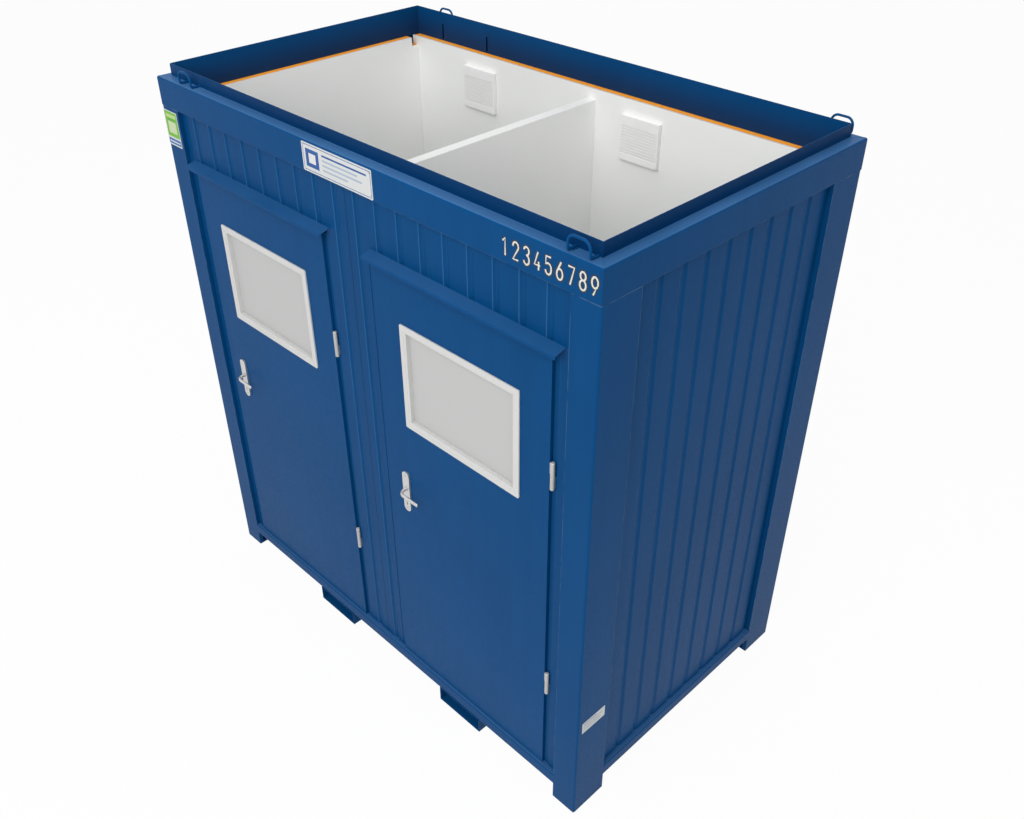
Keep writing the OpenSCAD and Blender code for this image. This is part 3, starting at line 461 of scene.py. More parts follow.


# A lighter copy of the board for the end linings and the partition, whose faces look along x: painted light there
litBoard = (0.925, 0.93, 0.915)
finishes = {
    "frame": bluePaint("bluePaintFrame", rails=True),
    "cladding": bluePaint("bluePaintCladding", tone=0.97, waves=0.5, cladding=True),
    "leaf": bluePaint("bluePaintLeaf", tone=1.02, waves=0.3),
    "trim": bluePaint("bluePaintTrim", tone=1.05, waves=0.1),
    # The door frame's blue is lightened: painted light in its shaded recess
    "casing": bluePaint("bluePaintCasing", tone=1.35, waves=0.1),
    "shaded": bluePaint("bluePaintShaded", tone=0.88, waves=0.1),
    "board": whiteBoard("whiteBoard", (0.848, 0.856, 0.84), (2.4115, 0.62)),
    "endBoard": whiteBoard("endBoard", litBoard, (2.4115, 0.62)),
    "partition": whiteBoard("partitionBoard", litBoard, (2.3675, 0.76)),
    "foam": foamFinish(),
    "ply": plyFinish(),
    "vinyl": vinylFinish(),
    "joist": plainFinish("joistPrimer", (0.12, 0.125, 0.13), 0.55, scale=120.0, change=0.2, reach=0.05),
    "seal": plainFinish("blackSeal", (0.016, 0.016, 0.017), 0.6, scale=300.0, change=0.2),
    "zinc": plainFinish("hingeZinc", (0.50, 0.505, 0.50), 0.42, metal=0.35, scale=180.0, change=0.12, reach=0.01),
    "alloy": plainFinish("handleAlloy", (0.62, 0.62, 0.61), 0.34, metal=0.8, scale=260.0, change=0.06, reach=0.012),
    "bolt": plainFinish("boltNickel", (0.58, 0.57, 0.55), 0.28, metal=1.0, scale=300.0, stretch=(0.1, 1.0, 1.0)),
    "frameWhite": plainFinish("windowWhite", (0.60, 0.603, 0.598), 0.40, scale=500.0, change=0.03, reach=0.012,
                              creviceTint=(0.62, 0.62, 0.61), shine=0.3),
    "pane": opalFinish(),
    "plastic": plainFinish("whitePlastic", (0.84, 0.842, 0.835), 0.42, scale=420.0, change=0.03, reach=0.010,
                           creviceTint=(0.62, 0.62, 0.60), shine=0.3),
    "ceramic": plainFinish("glazedCeramic", (0.80, 0.80, 0.785), 0.12, scale=40.0, peel=0.004, change=0.03, coat=0.8),
    "seat": plainFinish("seatPlastic", (0.80, 0.80, 0.79), 0.20, scale=60.0, peel=0.004, change=0.02, coat=0.3),
    "chrome": plainFinish("buttonChrome", (0.74, 0.75, 0.76), 0.10, metal=1.0, scale=200.0, peel=0.003),
    "copper": copperFinish(),
    "waste": plainFinish("wastePlastic", (0.17, 0.18, 0.195), 0.45, scale=300.0, change=0.1),
    "platePrint": printed("platePrint", plateMarks),
    "noticePrint": printed("noticePrint", noticeMarks),
    "labelPrint": printed("labelPrint", labelMarks, axis=1),
    "digitWhite": plainFinish("digitWhite", (0.64, 0.64, 0.62), 0.45, scale=300.0),
    "digitEdge": plainFinish("digitEdge", (0.012, 0.014, 0.02), 0.5, scale=300.0, change=0.2),
    "greySeal": plainFinish("greySeal", (0.56, 0.56, 0.55), 0.55, scale=300.0, change=0.08),
    "brass": plainFinish("fittingBrass", (0.62, 0.47, 0.24), 0.30, metal=1.0, scale=200.0, change=0.15),
    "water": plainFinish("bowlWater", (0.46, 0.50, 0.50), 0.04, scale=20.0, peel=0.002, change=0.02, coat=0.6),
}

# The first entry that a node's name starts with gives its finish
nodeFinish = {
    "post_": "frame", "floor_rail": "frame", "fork_pocket": "frame", "roof_rail": "frame", "lifting_eyes": "trim",
    "cladding": "cladding", "door_frame": "casing", "door_canopies": "trim", "vent_grilles": "trim",
    "door_leaf": "leaf", "floor_joists": "joist", "floor_deck": "ply", "wall_insulation": "foam",
    "lining_ends": "endBoard", "lining": "board", "partition": "partition", "door_seals": "seal", "hinge_": "zinc",
    "lock_plates": "alloy", "door_handle": "alloy", "latch_bolt": "bolt", "window_frame": "frameWhite",
    "window_pane": "pane", "vent_covers": "plastic", "water_pipe": "copper", "waste_stubs": "waste",
    "toilet_pan": "ceramic", "cistern": "ceramic", "paper_holders": "plastic", "toilet_seat": "seat",
    "toilet_lid": "seat", "flush_button": "chrome",
}
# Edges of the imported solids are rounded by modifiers, which leave their meshes as they are
roundings = {
    "door_leaf": 0.003, "window_frame": 0.002, "roof_rail": 0.0012, "lock_plates": 0.0012, "door_canopies": 0.0006,
    "fork_pocket": 0.001, "lining": 0.001, "partition": 0.0015, "toilet_seat": 0.005, "toilet_lid": 0.0045,
    "cistern": 0.012, "flush_button": 0.0012, "vent": 0.0008, "paper_holders": 0.006, "hinge_": 0.0006,
    "door_frame": 0.0008, "waste_stubs": 0.0008, "water_pipe": 0.0006,
}
dressing = {"weld": 0.00002, "flat": math.radians(1), "corner": math.radians(35), "wide": 0.0015, "weight": 80}


def matching(table, name):
    return next((value for key, value in table.items() if name.startswith(key)), None)


def layer(piece, kind, **settings):
    modifier = piece.modifiers.new(kind.lower(), kind)
    for key, value in settings.items():
        setattr(modifier, key, value)
    return modifier


def dressNodes():
    for name, node in nodes.items():
        node.data.materials.clear()
        node.data.materials.append(finishes[matching(nodeFinish, name)])
        width = matching(roundings, name)
        if width:
            layer(node, "WELD", merge_threshold=dressing["weld"])
            layer(node, "DECIMATE", decimate_type="DISSOLVE", angle_limit=dressing["flat"])
            layer(node, "BEVEL", width=width, segments=3 if width > dressing["wide"] else 2, limit_method="ANGLE",
                  angle_limit=dressing["corner"], use_clamp_overlap=True)
            layer(node, "WEIGHTED_NORMAL", weight=dressing["weight"], keep_sharp=False)


dressNodes()
print("nodes dressed")


def select(*pieces):
    bpy.ops.object.select_all(action="DESELECT")
    for piece in pieces:
        piece.select_set(True)
    bpy.context.view_layer.objects.active = pieces[0]


def settle():
    bpy.ops.object.transform_apply(location=True, rotation=True, scale=True)


def start(name, kind, **spec):
    bpy.ops.object.select_all(action="DESELECT")
    getattr(bpy.ops.mesh, "primitive_" + kind + "_add")(**spec)
    piece = bpy.context.active_object
    piece.name = piece.data.name = name
    return piece


def block(name, low, high):
    middle = [(a + b) / 2 for a, b in zip(low, high)]
    piece = start(name, "cube", size=1, location=middle)
    piece.scale = [b - a for a, b in zip(low, high)]
    settle()
    return piece


rodTurns = {"x": (0, math.pi / 2, 0), "y": (math.pi / 2, 0, 0), "z": (0, 0, 0)}


def rod(name, axis, radius, depth, place, sides=32):
    piece = start(name, "cylinder", vertices=sides, radius=radius, depth=depth, location=place,
                  rotation=rodTurns[axis])
    settle()
    return piece


# A round bar through the given spots, each with its own thickness
def tube(name, radius, fineness, lines):
    drawn = bpy.data.curves.new(name, "CURVE")
    drawn.dimensions = "3D"
    drawn.bevel_depth = radius
    drawn.bevel_resolution = fineness
    drawn.use_fill_caps = True
    for run in lines:
        line = drawn.splines.new("POLY")
        line.points.add(len(run) - 1)
        for point, (spot, swell) in zip(line.points, run):
            point.co = (*spot, 1.0)
            point.radius = swell
    piece = bpy.data.objects.new(name, drawn)
    bpy.context.scene.collection.objects.link(piece)
    select(piece)
    bpy.ops.object.convert(target="MESH")
    piece = bpy.context.active_object
    piece.name = piece.data.name = name
    return piece


# Edit mode on one piece; pick() selects faces, edges or vertices by a test in code
class Editing:
    def __init__(self, piece):
        self.piece = piece

    def __enter__(self):
        select(self.piece)
        bpy.ops.object.mode_set(mode="EDIT")
        return self

    def __exit__(self, *problem):
        bpy.ops.object.mode_set(mode="OBJECT")

    def pick(self, kind, wanted):
        bpy.ops.mesh.select_mode(type=kind)
        bpy.ops.mesh.select_all(action="DESELECT")
        mesh = bmesh.from_edit_mesh(self.piece.data)
        for item in {"FACE": mesh.faces, "EDGE": mesh.edges, "VERT": mesh.verts}[kind]:
            if wanted(item):
                item.select_set(True)
        mesh.select_flush_mode()
        bmesh.update_edit_mesh(self.piece.data)

    def whole(self):
        bpy.ops.mesh.select_all(action="SELECT")

    def held(self):
        mesh = bmesh.from_edit_mesh(self.piece.data)
        mesh.verts.index_update()
        return {vert.index for vert in mesh.verts if vert.select}

    def facing(self, x, y, z):
        way = Vector((x, y, z))
        self.pick("FACE", lambda face: face.normal.dot(way) > 0.95)

    # The round ends of a rod
    def caps(self):
        self.pick("FACE", lambda face: len(face.verts) > 8)

    def push(self, x=0.0, y=0.0, z=0.0):
        bpy.ops.mesh.extrude_region_move(TRANSFORM_OT_translate={"value": (x, y, z)})

    def inset(self, width, depth=0.0):
        bpy.ops.mesh.inset(thickness=width, depth=depth, use_even_offset=True)

    # Both picked ends are opened, so that a rim of this width is left
    def hollow(self, width):
        self.inset(width)
        bpy.ops.mesh.bridge_edge_loops()
        self.tidy()

    def cut(self, axis, *levels):
        normal = [float(i == axis) for i in range(3)]
        for level in levels:
            self.whole()
            bpy.ops.mesh.bisect(plane_co=[level * part for part in normal], plane_no=normal)

    def bevel(self, width, steps=2):
        bpy.ops.mesh.bevel(offset=width, segments=steps, affect="EDGES", clamp_overlap=True)

    # Rounds the edges that run along an axis
    def corners(self, axis, width, steps=2, wanted=lambda edge: True):
        self.pick("EDGE", lambda edge: upright(edge, axis) and wanted(edge))
        self.bevel(width, steps)

    # Sinks the face that looks this way, inside a rim
    def recess(self, way, rim, depth):
        self.facing(*way)
        self.inset(rim)
        self.push(*[-depth * part for part in way])

    def tidy(self):
        self.whole()
        bpy.ops.mesh.remove_doubles(threshold=0.00001)
        bpy.ops.mesh.normals_make_consistent(inside=False)


def upright(edge, axis):
    line = (edge.verts[0].co - edge.verts[1].co).normalized()
    return abs(line[axis]) > 0.9


def along(piece, kind, **settings):
    modifier = layer(piece, kind, **settings)
    select(piece)
    bpy.ops.object.modifier_apply(modifier=modifier.name)


def soften(piece, width, steps=2, angle=35):
    along(piece, "BEVEL", width=width, segments=steps, limit_method="ANGLE", angle_limit=math.radians(angle),
          use_clamp_overlap=True)


def carve(piece, cutter):
    along(piece, "BOOLEAN", object=cutter, operation="DIFFERENCE")
    bpy.data.objects.remove(cutter)


def twin(piece, name, move, turn):
    other = piece.copy()
    other.data = piece.data.copy()
    other.name = other.data.name = name
    bpy.context.scene.collection.objects.link(other)
    other.data.transform(turn)
    other.data.transform(Matrix.Translation(move))
    return other


def join(name, pieces):
    select(*pieces)
    bpy.ops.object.join()
    pieces[0].name = pieces[0].data.name = name
    return pieces[0]


def done(piece, finish, body, replaces=(), smooth=35):
    select(piece)
    settle()
    bpy.ops.object.shade_smooth_by_angle(angle=math.radians(smooth))
    along(piece, "WEIGHTED_NORMAL", keep_sharp=True, weight=dressing["weight"])
    piece.data.materials.clear()
    piece.data.materials.append(finishes[finish])
    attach(piece, body)
    if replaces:
        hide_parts(*replaces)
    return piece


# Signs on the frame: two opposite corners, the way that each faces, and its rim
signPlan = {
    "frontPlate": {"low": (-0.198, -0.7016, 2.376), "high": (0.1935, -0.700, 2.482), "axis": 1, "way": (0, -1, 0),
                   "corner": 0.005, "steps": 4, "rim": 0.003, "sink": 0.0003, "print": "platePrint"},
    "postNotice": {"low": (-1.196, -0.7012, 2.208), "high": (-1.0955, -0.700, 2.357), "axis": 1, "way": (0, -1, 0),
                   "corner": 0.003, "steps": 4, "rim": 0.002, "sink": 0.0003, "print": "noticePrint"},
    "endLabel": {"low": (1.1992, -0.6755, 0.487), "high": (1.20005, -0.544, 0.546), "axis": 0, "way": (1, 0, 0),
                 "corner": 0.003, "steps": 3, "rim": 0.002, "sink": 0.00002, "print": "labelPrint"},
}


def sign(name, plan):
    plate = block(name, plan["low"], plan["high"])
    with Editing(plate) as edit:
        edit.corners(plan["axis"], plan["corner"], plan["steps"])
        edit.recess(plan["way"], plan["rim"], plan["sink"])
    done(plate, plan["print"], "container")


# Plain digits, drawn as strokes in a box one high and one wide
digits = {"run": "123456789", "first": 0.819, "pitch": 0.0439, "low": 2.3975, "height": 0.0565, "wide": 0.0225,
          "stroke": 0.0035, "edge": 0.0045, "edgeLift": 0.0007, "lift": 0.0014}


def arc(x, y, rx, ry, first, last, steps=10):
    return [(x + rx * math.cos(math.radians(first + (last - first) * i / steps)),
             y + ry * math.sin(math.radians(first + (last - first) * i / steps))) for i in range(steps + 1)]


strokes = {
    "1": [[(0.05, 0.80), (0.50, 1.0), (0.50, 0.0)]],
    "2": [arc(0.5, 0.75, 0.5, 0.25, 180, -20) + [(0.0, 0.0), (1.0, 0.0)]],
    "3": [arc(0.5, 0.77, 0.46, 0.23, 165, -90), arc(0.5, 0.27, 0.5, 0.27, 90, -165)],
    "4": [[(0.62, 1.0), (0.0, 0.26), (1.0, 0.26)], [(0.74, 0.48), (0.74, 0.0)]],
    "5": [[(0.92, 1.0), (0.08, 1.0), (0.04, 0.56)] + arc(0.48, 0.32, 0.52, 0.32, 115, -165)],
    "6": [[(0.72, 1.0)] + arc(0.5, 0.30, 0.5, 0.30, 160, 520, 20)],
    "7": [[(0.0, 1.0), (1.0, 1.0), (0.34, 0.0)]],
    "8": [arc(0.5, 0.77, 0.44, 0.23, 90, 450, 18), arc(0.5, 0.27, 0.5, 0.27, 90, 450, 18)],
    "9": [arc(0.5, 0.70, 0.5, 0.30, -20, 340, 20) + [(0.28, 0.0)]],
}


def digitRow(name, half, lift, finish):
    lines = []
    for place, digit in enumerate(digits["run"]):
        middle = digits["first"] + place * digits["pitch"]
        for stroke in strokes[digit]:
            lines.append([((middle + (x - 0.5) * digits["wide"], 0.0, digits["low"] + y * digits["height"]), 1.0)
                          for x, y in stroke])
    row = tube(name, half, 3, lines)
    with Editing(row) as edit:
        edit.whole()
        bpy.ops.transform.resize(value=(1, lift / half, 1), center_override=(0, 0, 0))
        bpy.ops.transform.translate(value=(0, planes["frontBand"], 0))
    done(row, finish, "container")


# Windows: "pane" is the glass's front face; the gaskets lie before and behind it
windowPlan = {"wide": 0.600, "high": 0.450, "middle": 1.707, "pane": -0.674, "face": 0.0195, "rise": 0.0188,
              "beadWide": 0.0105, "slope": 0.0012, "gasket": 0.002,
              "gaskets": {"outer": (-0.0026, 0.0002), "inner": (0.0058, 0.0086)}}


def glazingBead(side, cubicle):
    plan = windowPlan
    x, z = cubicle["door"], plan["middle"]
    half, tall = plan["wide"] / 2 - plan["face"], plan["high"] / 2 - plan["face"]
    bead = block("glazingBead" + side.title(), (x - half, plan["pane"] - plan["rise"], z - tall),
                 (x + half, plan["pane"], z + tall))
    with Editing(bead) as edit:
        edit.pick("FACE", lambda face: abs(face.normal.y) > 0.9)
        edit.hollow(plan["beadWide"])
        edit.pick("VERT", lambda vert: vert.co.y < plan["pane"] - 0.001 and abs(vert.co.x - x) < half - 0.002
                  and abs(vert.co.z - z) < tall - 0.002)
        bpy.ops.transform.translate(value=(0, plan["slope"], 0))
    soften(bead, 0.0008)
    done(bead, "frameWhite", "door_" + side)


def windowGasket(side, cubicle):
    plan = windowPlan
    x, z = cubicle["door"], plan["middle"]
    half = plan["wide"] / 2 - plan["face"] - plan["beadWide"]
    tall = plan["high"] / 2 - plan["face"] - plan["beadWide"]
    rings = []
    for name, (low, high) in plan["gaskets"].items():
        ring = block(name, (x - half, plan["pane"] + low, z - tall), (x + half, plan["pane"] + high, z + tall))
        with Editing(ring) as edit:
            edit.pick("FACE", lambda face: abs(face.normal.y) > 0.9)
            edit.hollow(plan["gasket"])
        soften(ring, 0.0009)
        rings.append(ring)
    done(join("windowGasket" + side.title(), rings), "greySeal", "door_" + side)


# Vent covers inside and grilles outside: a shallow box with leaning slats
ventPlan = {"middles": (-0.674, 0.275), "height": 2.257, "wide": 0.200, "high": 0.188, "cover": 0.020,
            "grille": 0.012, "slats": 10, "pitch": 0.0122, "drop": 0.005, "rim": 0.008, "recess": 0.003,
            "sink": 0.0014, "lean": 10, "slat": 0.0008, "lap": 0.001, "overlap": 0.54, "screws": (0.090, 0.084)}


def ventLouvre(name, x, wall, depth, way):
    plan = ventPlan
    front, z = wall + way * depth, plan["height"]
    cover = block(name, (x - plan["wide"] / 2, min(wall, front), z - plan["high"] / 2),
                  (x + plan["wide"] / 2, max(wall, front), z + plan["high"] / 2))
    run = plan["slats"] * plan["pitch"]
    low = z - plan["drop"] - run / 2
    high = low + run
    left, right = x - plan["wide"] / 2 + plan["rim"], x + plan["wide"] / 2 - plan["rim"]

    def inWindow(face):
        spot = face.calc_center_median()
        return face.normal.y * way > 0.9 and low < spot.z < high and left < spot.x < right
    with Editing(cover) as edit:
        edit.cut(2, low, high)
        edit.cut(0, left, right)
        edit.pick("FACE", inWindow)
        edit.push(y=-way * plan["recess"])
        edit.whole()
        bpy.ops.mesh.remove_doubles(threshold=0.00001)
    soften(cover, 0.0012)
    slat = block("slat", (left - plan["lap"], -plan["slat"], -plan["pitch"] * plan["overlap"]),
                 (right + plan["lap"], plan["slat"], plan["pitch"] * plan["overlap"]))
    with Editing(slat) as edit:
        edit.corners(0, 0.0006)
    lean = Matrix.Rotation(math.radians(-way * plan["lean"]), 4, "X")
    slats = [twin(slat, "slat" + str(i), (0, front - way * plan["sink"], low + (i + 0.5) * plan["pitch"]), lean)
             for i in range(plan["slats"])]
    bpy.data.objects.remove(slat)
    return join(name, [cover] + slats)


# Toilet pans
panPlan = {"bowl": 0.215, "base": 0.139, "sides": 64,
           # outer rings: height, front radius, rear radius, distance of the rear circle
           "outside": ((0.0, 0.124, 0.100, 0.258), (0.010, 0.128, 0.102, 0.256), (0.030, 0.124, 0.098, 0.258),
                       (0.080, 0.110, 0.090, 0.266), (0.150, 0.114, 0.092, 0.265), (0.220, 0.138, 0.098, 0.260),
                       (0.290, 0.164, 0.106, 0.252), (0.345, 0.180, 0.112, 0.246), (0.380, 0.1845, 0.114, 0.245),
                       (0.394, 0.1835, 0.113, 0.246), (0.400, 0.178, 0.108, 0.248)),
           # bowl rings: height and radius
           "inside": ((0.400, 0.149), (0.396, 0.144), (0.380, 0.1425), (0.350, 0.144), (0.310, 0.128), (0.250, 0.096),
                      (0.190, 0.064), (0.155, 0.048), (0.120, 0.042)),
           "water": (0.185, 0.060),
           "hinge": {"radius": 0.005, "long": 0.180, "y": 0.387, "z": 0.552},
           "foot": {"out": 0.075, "half": 0.007, "deep": 0.008, "low": 0.536, "top": 0.5555}}


# Next ring of the egg-shaped outside: the front half first, then the rear half from its own circle
def eggRing(edit, centre, old, new):
    grow = new[1] / old[1]
    edit.push(z=new[0] - old[0])
    bpy.ops.transform.resize(value=(grow, grow, 1), center_override=centre)
    ring = edit.held()
    edit.pick("VERT", lambda vert: vert.index in ring and vert.co.y > centre[1] + 0.0001)
    rear = (centre[0], centre[1] + old[3] * grow, 0)
    bpy.ops.transform.resize(value=(new[2] / (old[2] * grow),) * 2 + (1,), center_override=rear)
    bpy.ops.transform.translate(value=(0, new[3] - old[3] * grow, 0))
    edit.pick("VERT", lambda vert: vert.index in ring)


def toiletPan(side, cubicle):
    plan, hinge, foot = panPlan, panPlan["hinge"], panPlan["foot"]
    x, y, base = cubicle["toilet"], plan["bowl"], plan["base"]
    centre = (x, y, 0)
    first = plan["outside"][0]
    pan = start("toiletBowl" + side.title(), "circle", vertices=plan["sides"], radius=first[1],
                location=(x, y, base + first[0]))
    settle()
    with Editing(pan) as edit:
        edit.pick("VERT", lambda vert: vert.co.y > y + 0.0001)
        bpy.ops.transform.resize(value=(first[2] / first[1],) * 2 + (1,), center_override=centre)
        bpy.ops.transform.translate(value=(0, first[3], 0))
        edit.whole()
        for old, new in zip(plan["outside"], plan["outside"][1:]):
            eggRing(edit, centre, old, new)
        rim = edit.held()
        top, wide = plan["inside"][0]
        bpy.ops.mesh.primitive_circle_add(vertices=plan["sides"], radius=wide, location=(x, y, base + top))
        mouth = edit.held()
        for old, new in zip(plan["inside"], plan["inside"][1:]):
            edit.push(z=new[0] - old[0])
            bpy.ops.transform.resize(value=(new[1] / old[1],) * 2 + (1,), center_override=centre)
        bpy.ops.mesh.edge_face_add()
        edit.pick("EDGE", lambda edge: any(all(v.index in loop for v in edge.verts) for loop in (rim, mouth)))
        bpy.ops.mesh.bridge_edge_loops()
        edit.tidy()
    along(pan, "SUBSURF", levels=1, render_levels=1)
    pin = rod("hinge", "x", hinge["radius"], hinge["long"], (x, hinge["y"], hinge["z"]), 24)
    with Editing(pin) as edit:
        edit.caps()
        edit.inset(0.0012, 0.0008)
    parts = [pan, pin]
    for way in (-1, 1):
        middle = x + way * foot["out"]
        ear = block("foot", (middle - foot["half"], hinge["y"] - foot["deep"], foot["low"]),
                    (middle + foot["half"], hinge["y"] + foot["deep"], foot["top"]))
        with Editing(ear) as edit:
            edit.corners(0, 0.006, 4, lambda edge: edge.verts[0].co.z > foot["top"] - 0.005)
        parts.append(ear)
    done(join("toiletBowl" + side.title(), parts), "ceramic", "container", ["toilet_pan_" + side], 40)


def bowlWater(side, cubicle):
    low, wide = panPlan["water"]
    water = start("bowlWater" + side.title(), "circle", vertices=48, radius=wide, fill_type="NGON",
                  location=(cubicle["toilet"], panPlan["bowl"], panPlan["base"] + low))
    with Editing(water) as edit:
        edit.whole()
        edit.inset(0.004)
        edit.push(z=-0.0006)
    done(water, "water", "container")


# Cisterns, drawn in slightly at the bottom, under a domed lid with the button's well
cisternPlan = {"half": 0.180, "tankHalf": 0.174, "front": 0.450, "tankFront": 0.456, "rear": 0.615, "low": 0.539,
               "lid": 0.858, "gap": 0.0012, "top": 0.889, "dome": 0.004, "taper": (0.90, 0.86, 1),
               "tankCorner": 0.038, "lidCorner": 0.042, "button": 0.5325, "well": 0.0214, "bezel": 0.0275}


def cistern(side, cubicle):
    plan = cisternPlan
    x = cubicle["toilet"]
    tank = block("cisternTank" + side.title(), (x - plan["tankHalf"], plan["tankFront"], plan["low"]),
                 (x + plan["tankHalf"], plan["rear"], plan["lid"] - plan["gap"]))

    def atFront(edge):
        return edge.verts[0].co.y < plan["rear"] - 0.01
    with Editing(tank) as edit:
        edit.pick("VERT", lambda vert: vert.co.z < plan["low"] + 0.001)
        bpy.ops.transform.resize(value=plan["taper"], center_override=(x, plan["rear"], 0))
        edit.corners(2, plan["tankCorner"], 6, atFront)
        edit.recess((0, 0, -1), 0.014, 0.003)
    soften(tank, 0.007, 4, 30)
    lid = block("lid", (x - plan["half"], plan["front"], plan["lid"]),
                (x + plan["half"], plan["rear"], plan["top"] - plan["dome"]))
    with Editing(lid) as edit:
        edit.corners(2, plan["lidCorner"], 6, atFront)
        edit.recess((0, 0, 1), 0.022, -plan["dome"])
        edit.recess((0, 0, -1), 0.006, 0.004)
    soften(lid, 0.005, 4, 25)
    carve(lid, start("well", "cylinder", vertices=48, radius=plan["well"], depth=0.04,
                     location=(x, plan["button"], plan["top"])))
    done(join("cisternTank" + side.title(), [tank, lid]), "ceramic", "container", ["cistern_" + side], 30)


def buttonRing(side, cubicle):
    plan = cisternPlan
    bezel = rod("buttonBezel" + side.title(), "z", plan["bezel"], 0.0024,
                (cubicle["toilet"], plan["button"], plan["top"] + 0.0011), 64)
    with Editing(bezel) as edit:
        edit.caps()
        edit.hollow(0.0066)
    soften(bezel, 0.0009, 3)
    done(bezel, "chrome", "container")


# Paper holders: a drum on the partition with a slot below and a lock on its face
holderPlan = {"radius": 0.095, "deep": 0.110, "y": 0.120, "z": 0.919, "wall": 0.0225, "groove": 0.012,
              "slot": {"end": 0.010, "half": 0.030, "low": 0.125, "top": 0.062},
              "lock": {"radius": 0.0085, "deep": 0.004, "sunk": 0.001, "up": 0.062}}


def paperHolder(side, cubicle):
    plan, slot, lock = holderPlan, holderPlan["slot"], holderPlan["lock"]
    way = cubicle["side"]
    x = way * (plan["wall"] + plan["deep"] / 2)
    groove = way * (plan["wall"] + plan["groove"])
    drum = rod("paperDrum" + side.title(), "x", plan["radius"], plan["deep"], (x, plan["y"], plan["z"]), 80)
    with Editing(drum) as edit:
        edit.recess((way, 0, 0), 0.010, 0.002)
        edit.inset(0.004)
        edit.inset(0.040)
        edit.push(x=way * 0.0015)
        edit.cut(0, groove)
        edit.pick("EDGE", lambda edge: all(abs(v.co.x - groove) < 0.0001 for v in edge.verts))
        edit.bevel(0.0012)
        edit.tidy()
    soften(drum, 0.004, 4, 40)
    reach = plan["deep"] / 2 - slot["end"]
    carve(drum, block("slot", (x - reach, plan["y"] - slot["half"], plan["z"] - slot["low"]),
                      (x + reach, plan["y"] + slot["half"], plan["z"] - slot["top"])))
    face = way * (plan["wall"] + plan["deep"] - lock["sunk"])
    barrel = rod("lock", "x", lock["radius"], lock["deep"], (face, plan["y"], plan["z"] + lock["up"]))
    with Editing(barrel) as edit:
        edit.recess((way, 0, 0), 0.002, 0.0008)
    done(join("paperDrum" + side.title(), [drum, barrel]), "plastic", "container", ["paper_holders"])


# Floor covering, which turns up at the walls in a cove and stays flat in the doorway
floorPlan = {"thick": 0.0022, "rise": 0.058, "lap": 0.003, "wall": 0.0228, "end": 1.1148, "reach": 0.6148,
             "cove": 0.012, "doorway": 0.452}


def floorCovering(side, cubicle):
    plan, floor, door = floorPlan, planes["floor"], cubicle["door"]
    low, high = sorted((cubicle["side"] * plan["wall"], cubicle["side"] * plan["end"]))
    sheet = block("floorVinyl" + side.title(), (low, -plan["reach"], floor),
                  (high, plan["reach"], floor + plan["thick"]))
    left, right, rear = low + plan["lap"], high - plan["lap"], plan["reach"] - plan["lap"]

    def atWall(face):
        spot = face.calc_center_median()
        if face.normal.z < 0.9:
            return False
        if not left < spot.x < right or spot.y > rear:
            return True
        return spot.y < -rear and abs(spot.x - door) > plan["doorway"]

    def atFoot(edge):
        level = all(abs(v.co.z - floor - plan["thick"]) < 0.0003 for v in edge.verts)
        return level and len(edge.link_faces) == 2 and edge.calc_face_angle_signed(0) < -0.5
    with Editing(sheet) as edit:
        edit.cut(0, left, right)
        edit.cut(1, rear, -rear)
        edit.cut(0, door - plan["doorway"], door + plan["doorway"])
        edit.pick("FACE", atWall)
        edit.push(z=plan["rise"])
        edit.tidy()
        edit.pick("EDGE", atFoot)
        edit.bevel(plan["cove"], 5)
    done(sheet, "vinyl", "container", smooth=60)


# Screws with a small recess; margin is their distance from the edges of the front plate
screwPlan = {"radius": 0.0036, "high": 0.0014, "round": 0.0007, "rim": 0.0010, "recess": 0.0007, "margin": 0.010}
turns = {"front": Matrix.Rotation(math.radians(90), 4, "X"), "back": Matrix.Rotation(math.radians(-90), 4, "X")}


def screws(name, places, body, finish):
    plan = screwPlan
    first = rod("screw", "z", plan["radius"], plan["high"], (0, 0, plan["high"] / 2), 16)
    with Editing(first) as edit:
        edit.pick("EDGE", lambda edge: all(v.co.z > plan["high"] / 2 for v in edge.verts))
        edit.bevel(plan["round"])
        edit.recess((0, 0, 1), plan["rim"], plan["recess"])
    heads = [twin(first, "head" + str(i), spot, turns[way]) for i, (way, spot) in enumerate(places)]
    bpy.data.objects.remove(first)
    done(join(name, heads), finish, body, smooth=30)


def plateScrews():
    low, high, margin = signPlan["frontPlate"]["low"], signPlan["frontPlate"]["high"], screwPlan["margin"]
    places = [("front", (x, low[1], z)) for x in (low[0] + margin, high[0] - margin)
              for z in (low[2] + margin, high[2] - margin)]
    screws("plateScrews", places, "container", "bolt")


def ventScrews(name, way, y, finish):
    across, up = ventPlan["screws"]
    places = [(way, (x + dx, y, ventPlan["height"] + dz)) for x in ventPlan["middles"]
              for dx in (-across, across) for dz in (-up, up)]
    screws(name, places, "container", finish)


# Beads of weld or sealant: a tube whose thickness ripples along its way
def bead(name, lines, radius, finish, pitch, ripple):
    runs = []
    for first, last in lines:
        first, last = Vector(first), Vector(last)
        count = max(3, int((last - first).length / pitch))
        runs.append([(first.lerp(last, i / count), 1.0 - (ripple if i % 2 else 0.0) - (0.5 if i in (0, count) else 0.0))
                     for i in range(count + 1)])
    done(tube(name, radius, 2, runs), finish, "container", smooth=50)


eyePlan = {"middles": (1.098, -0.988), "half": 0.042, "loop": 0.690, "upstand": 0.655, "bar": 0.0045, "lift": 0.0014}


def eyeWelds():
    plan = eyePlan
    high = planes["roofFlange"] + plan["lift"]
    lines = []
    for middle, face, foot, edge in product(plan["middles"], (-1, 1), (-1, 1), (-1, 1)):
        at = middle + foot * (plan["half"] - plan["bar"]) + edge * plan["bar"] * 0.95
        lines.append(((at, face * (plan["loop"] - 0.010), high), (at, face * (plan["upstand"] + 0.001), high)))
    bead("eyeWelds", lines, 0.0022, "trim", 0.0022, 0.3)


# The mitres of the roof rails: across the flange and up the corner
mitres = {"out": (1.1955, 0.6955), "in": (1.1555, 0.6555), "corner": (1.1552, 0.6552)}


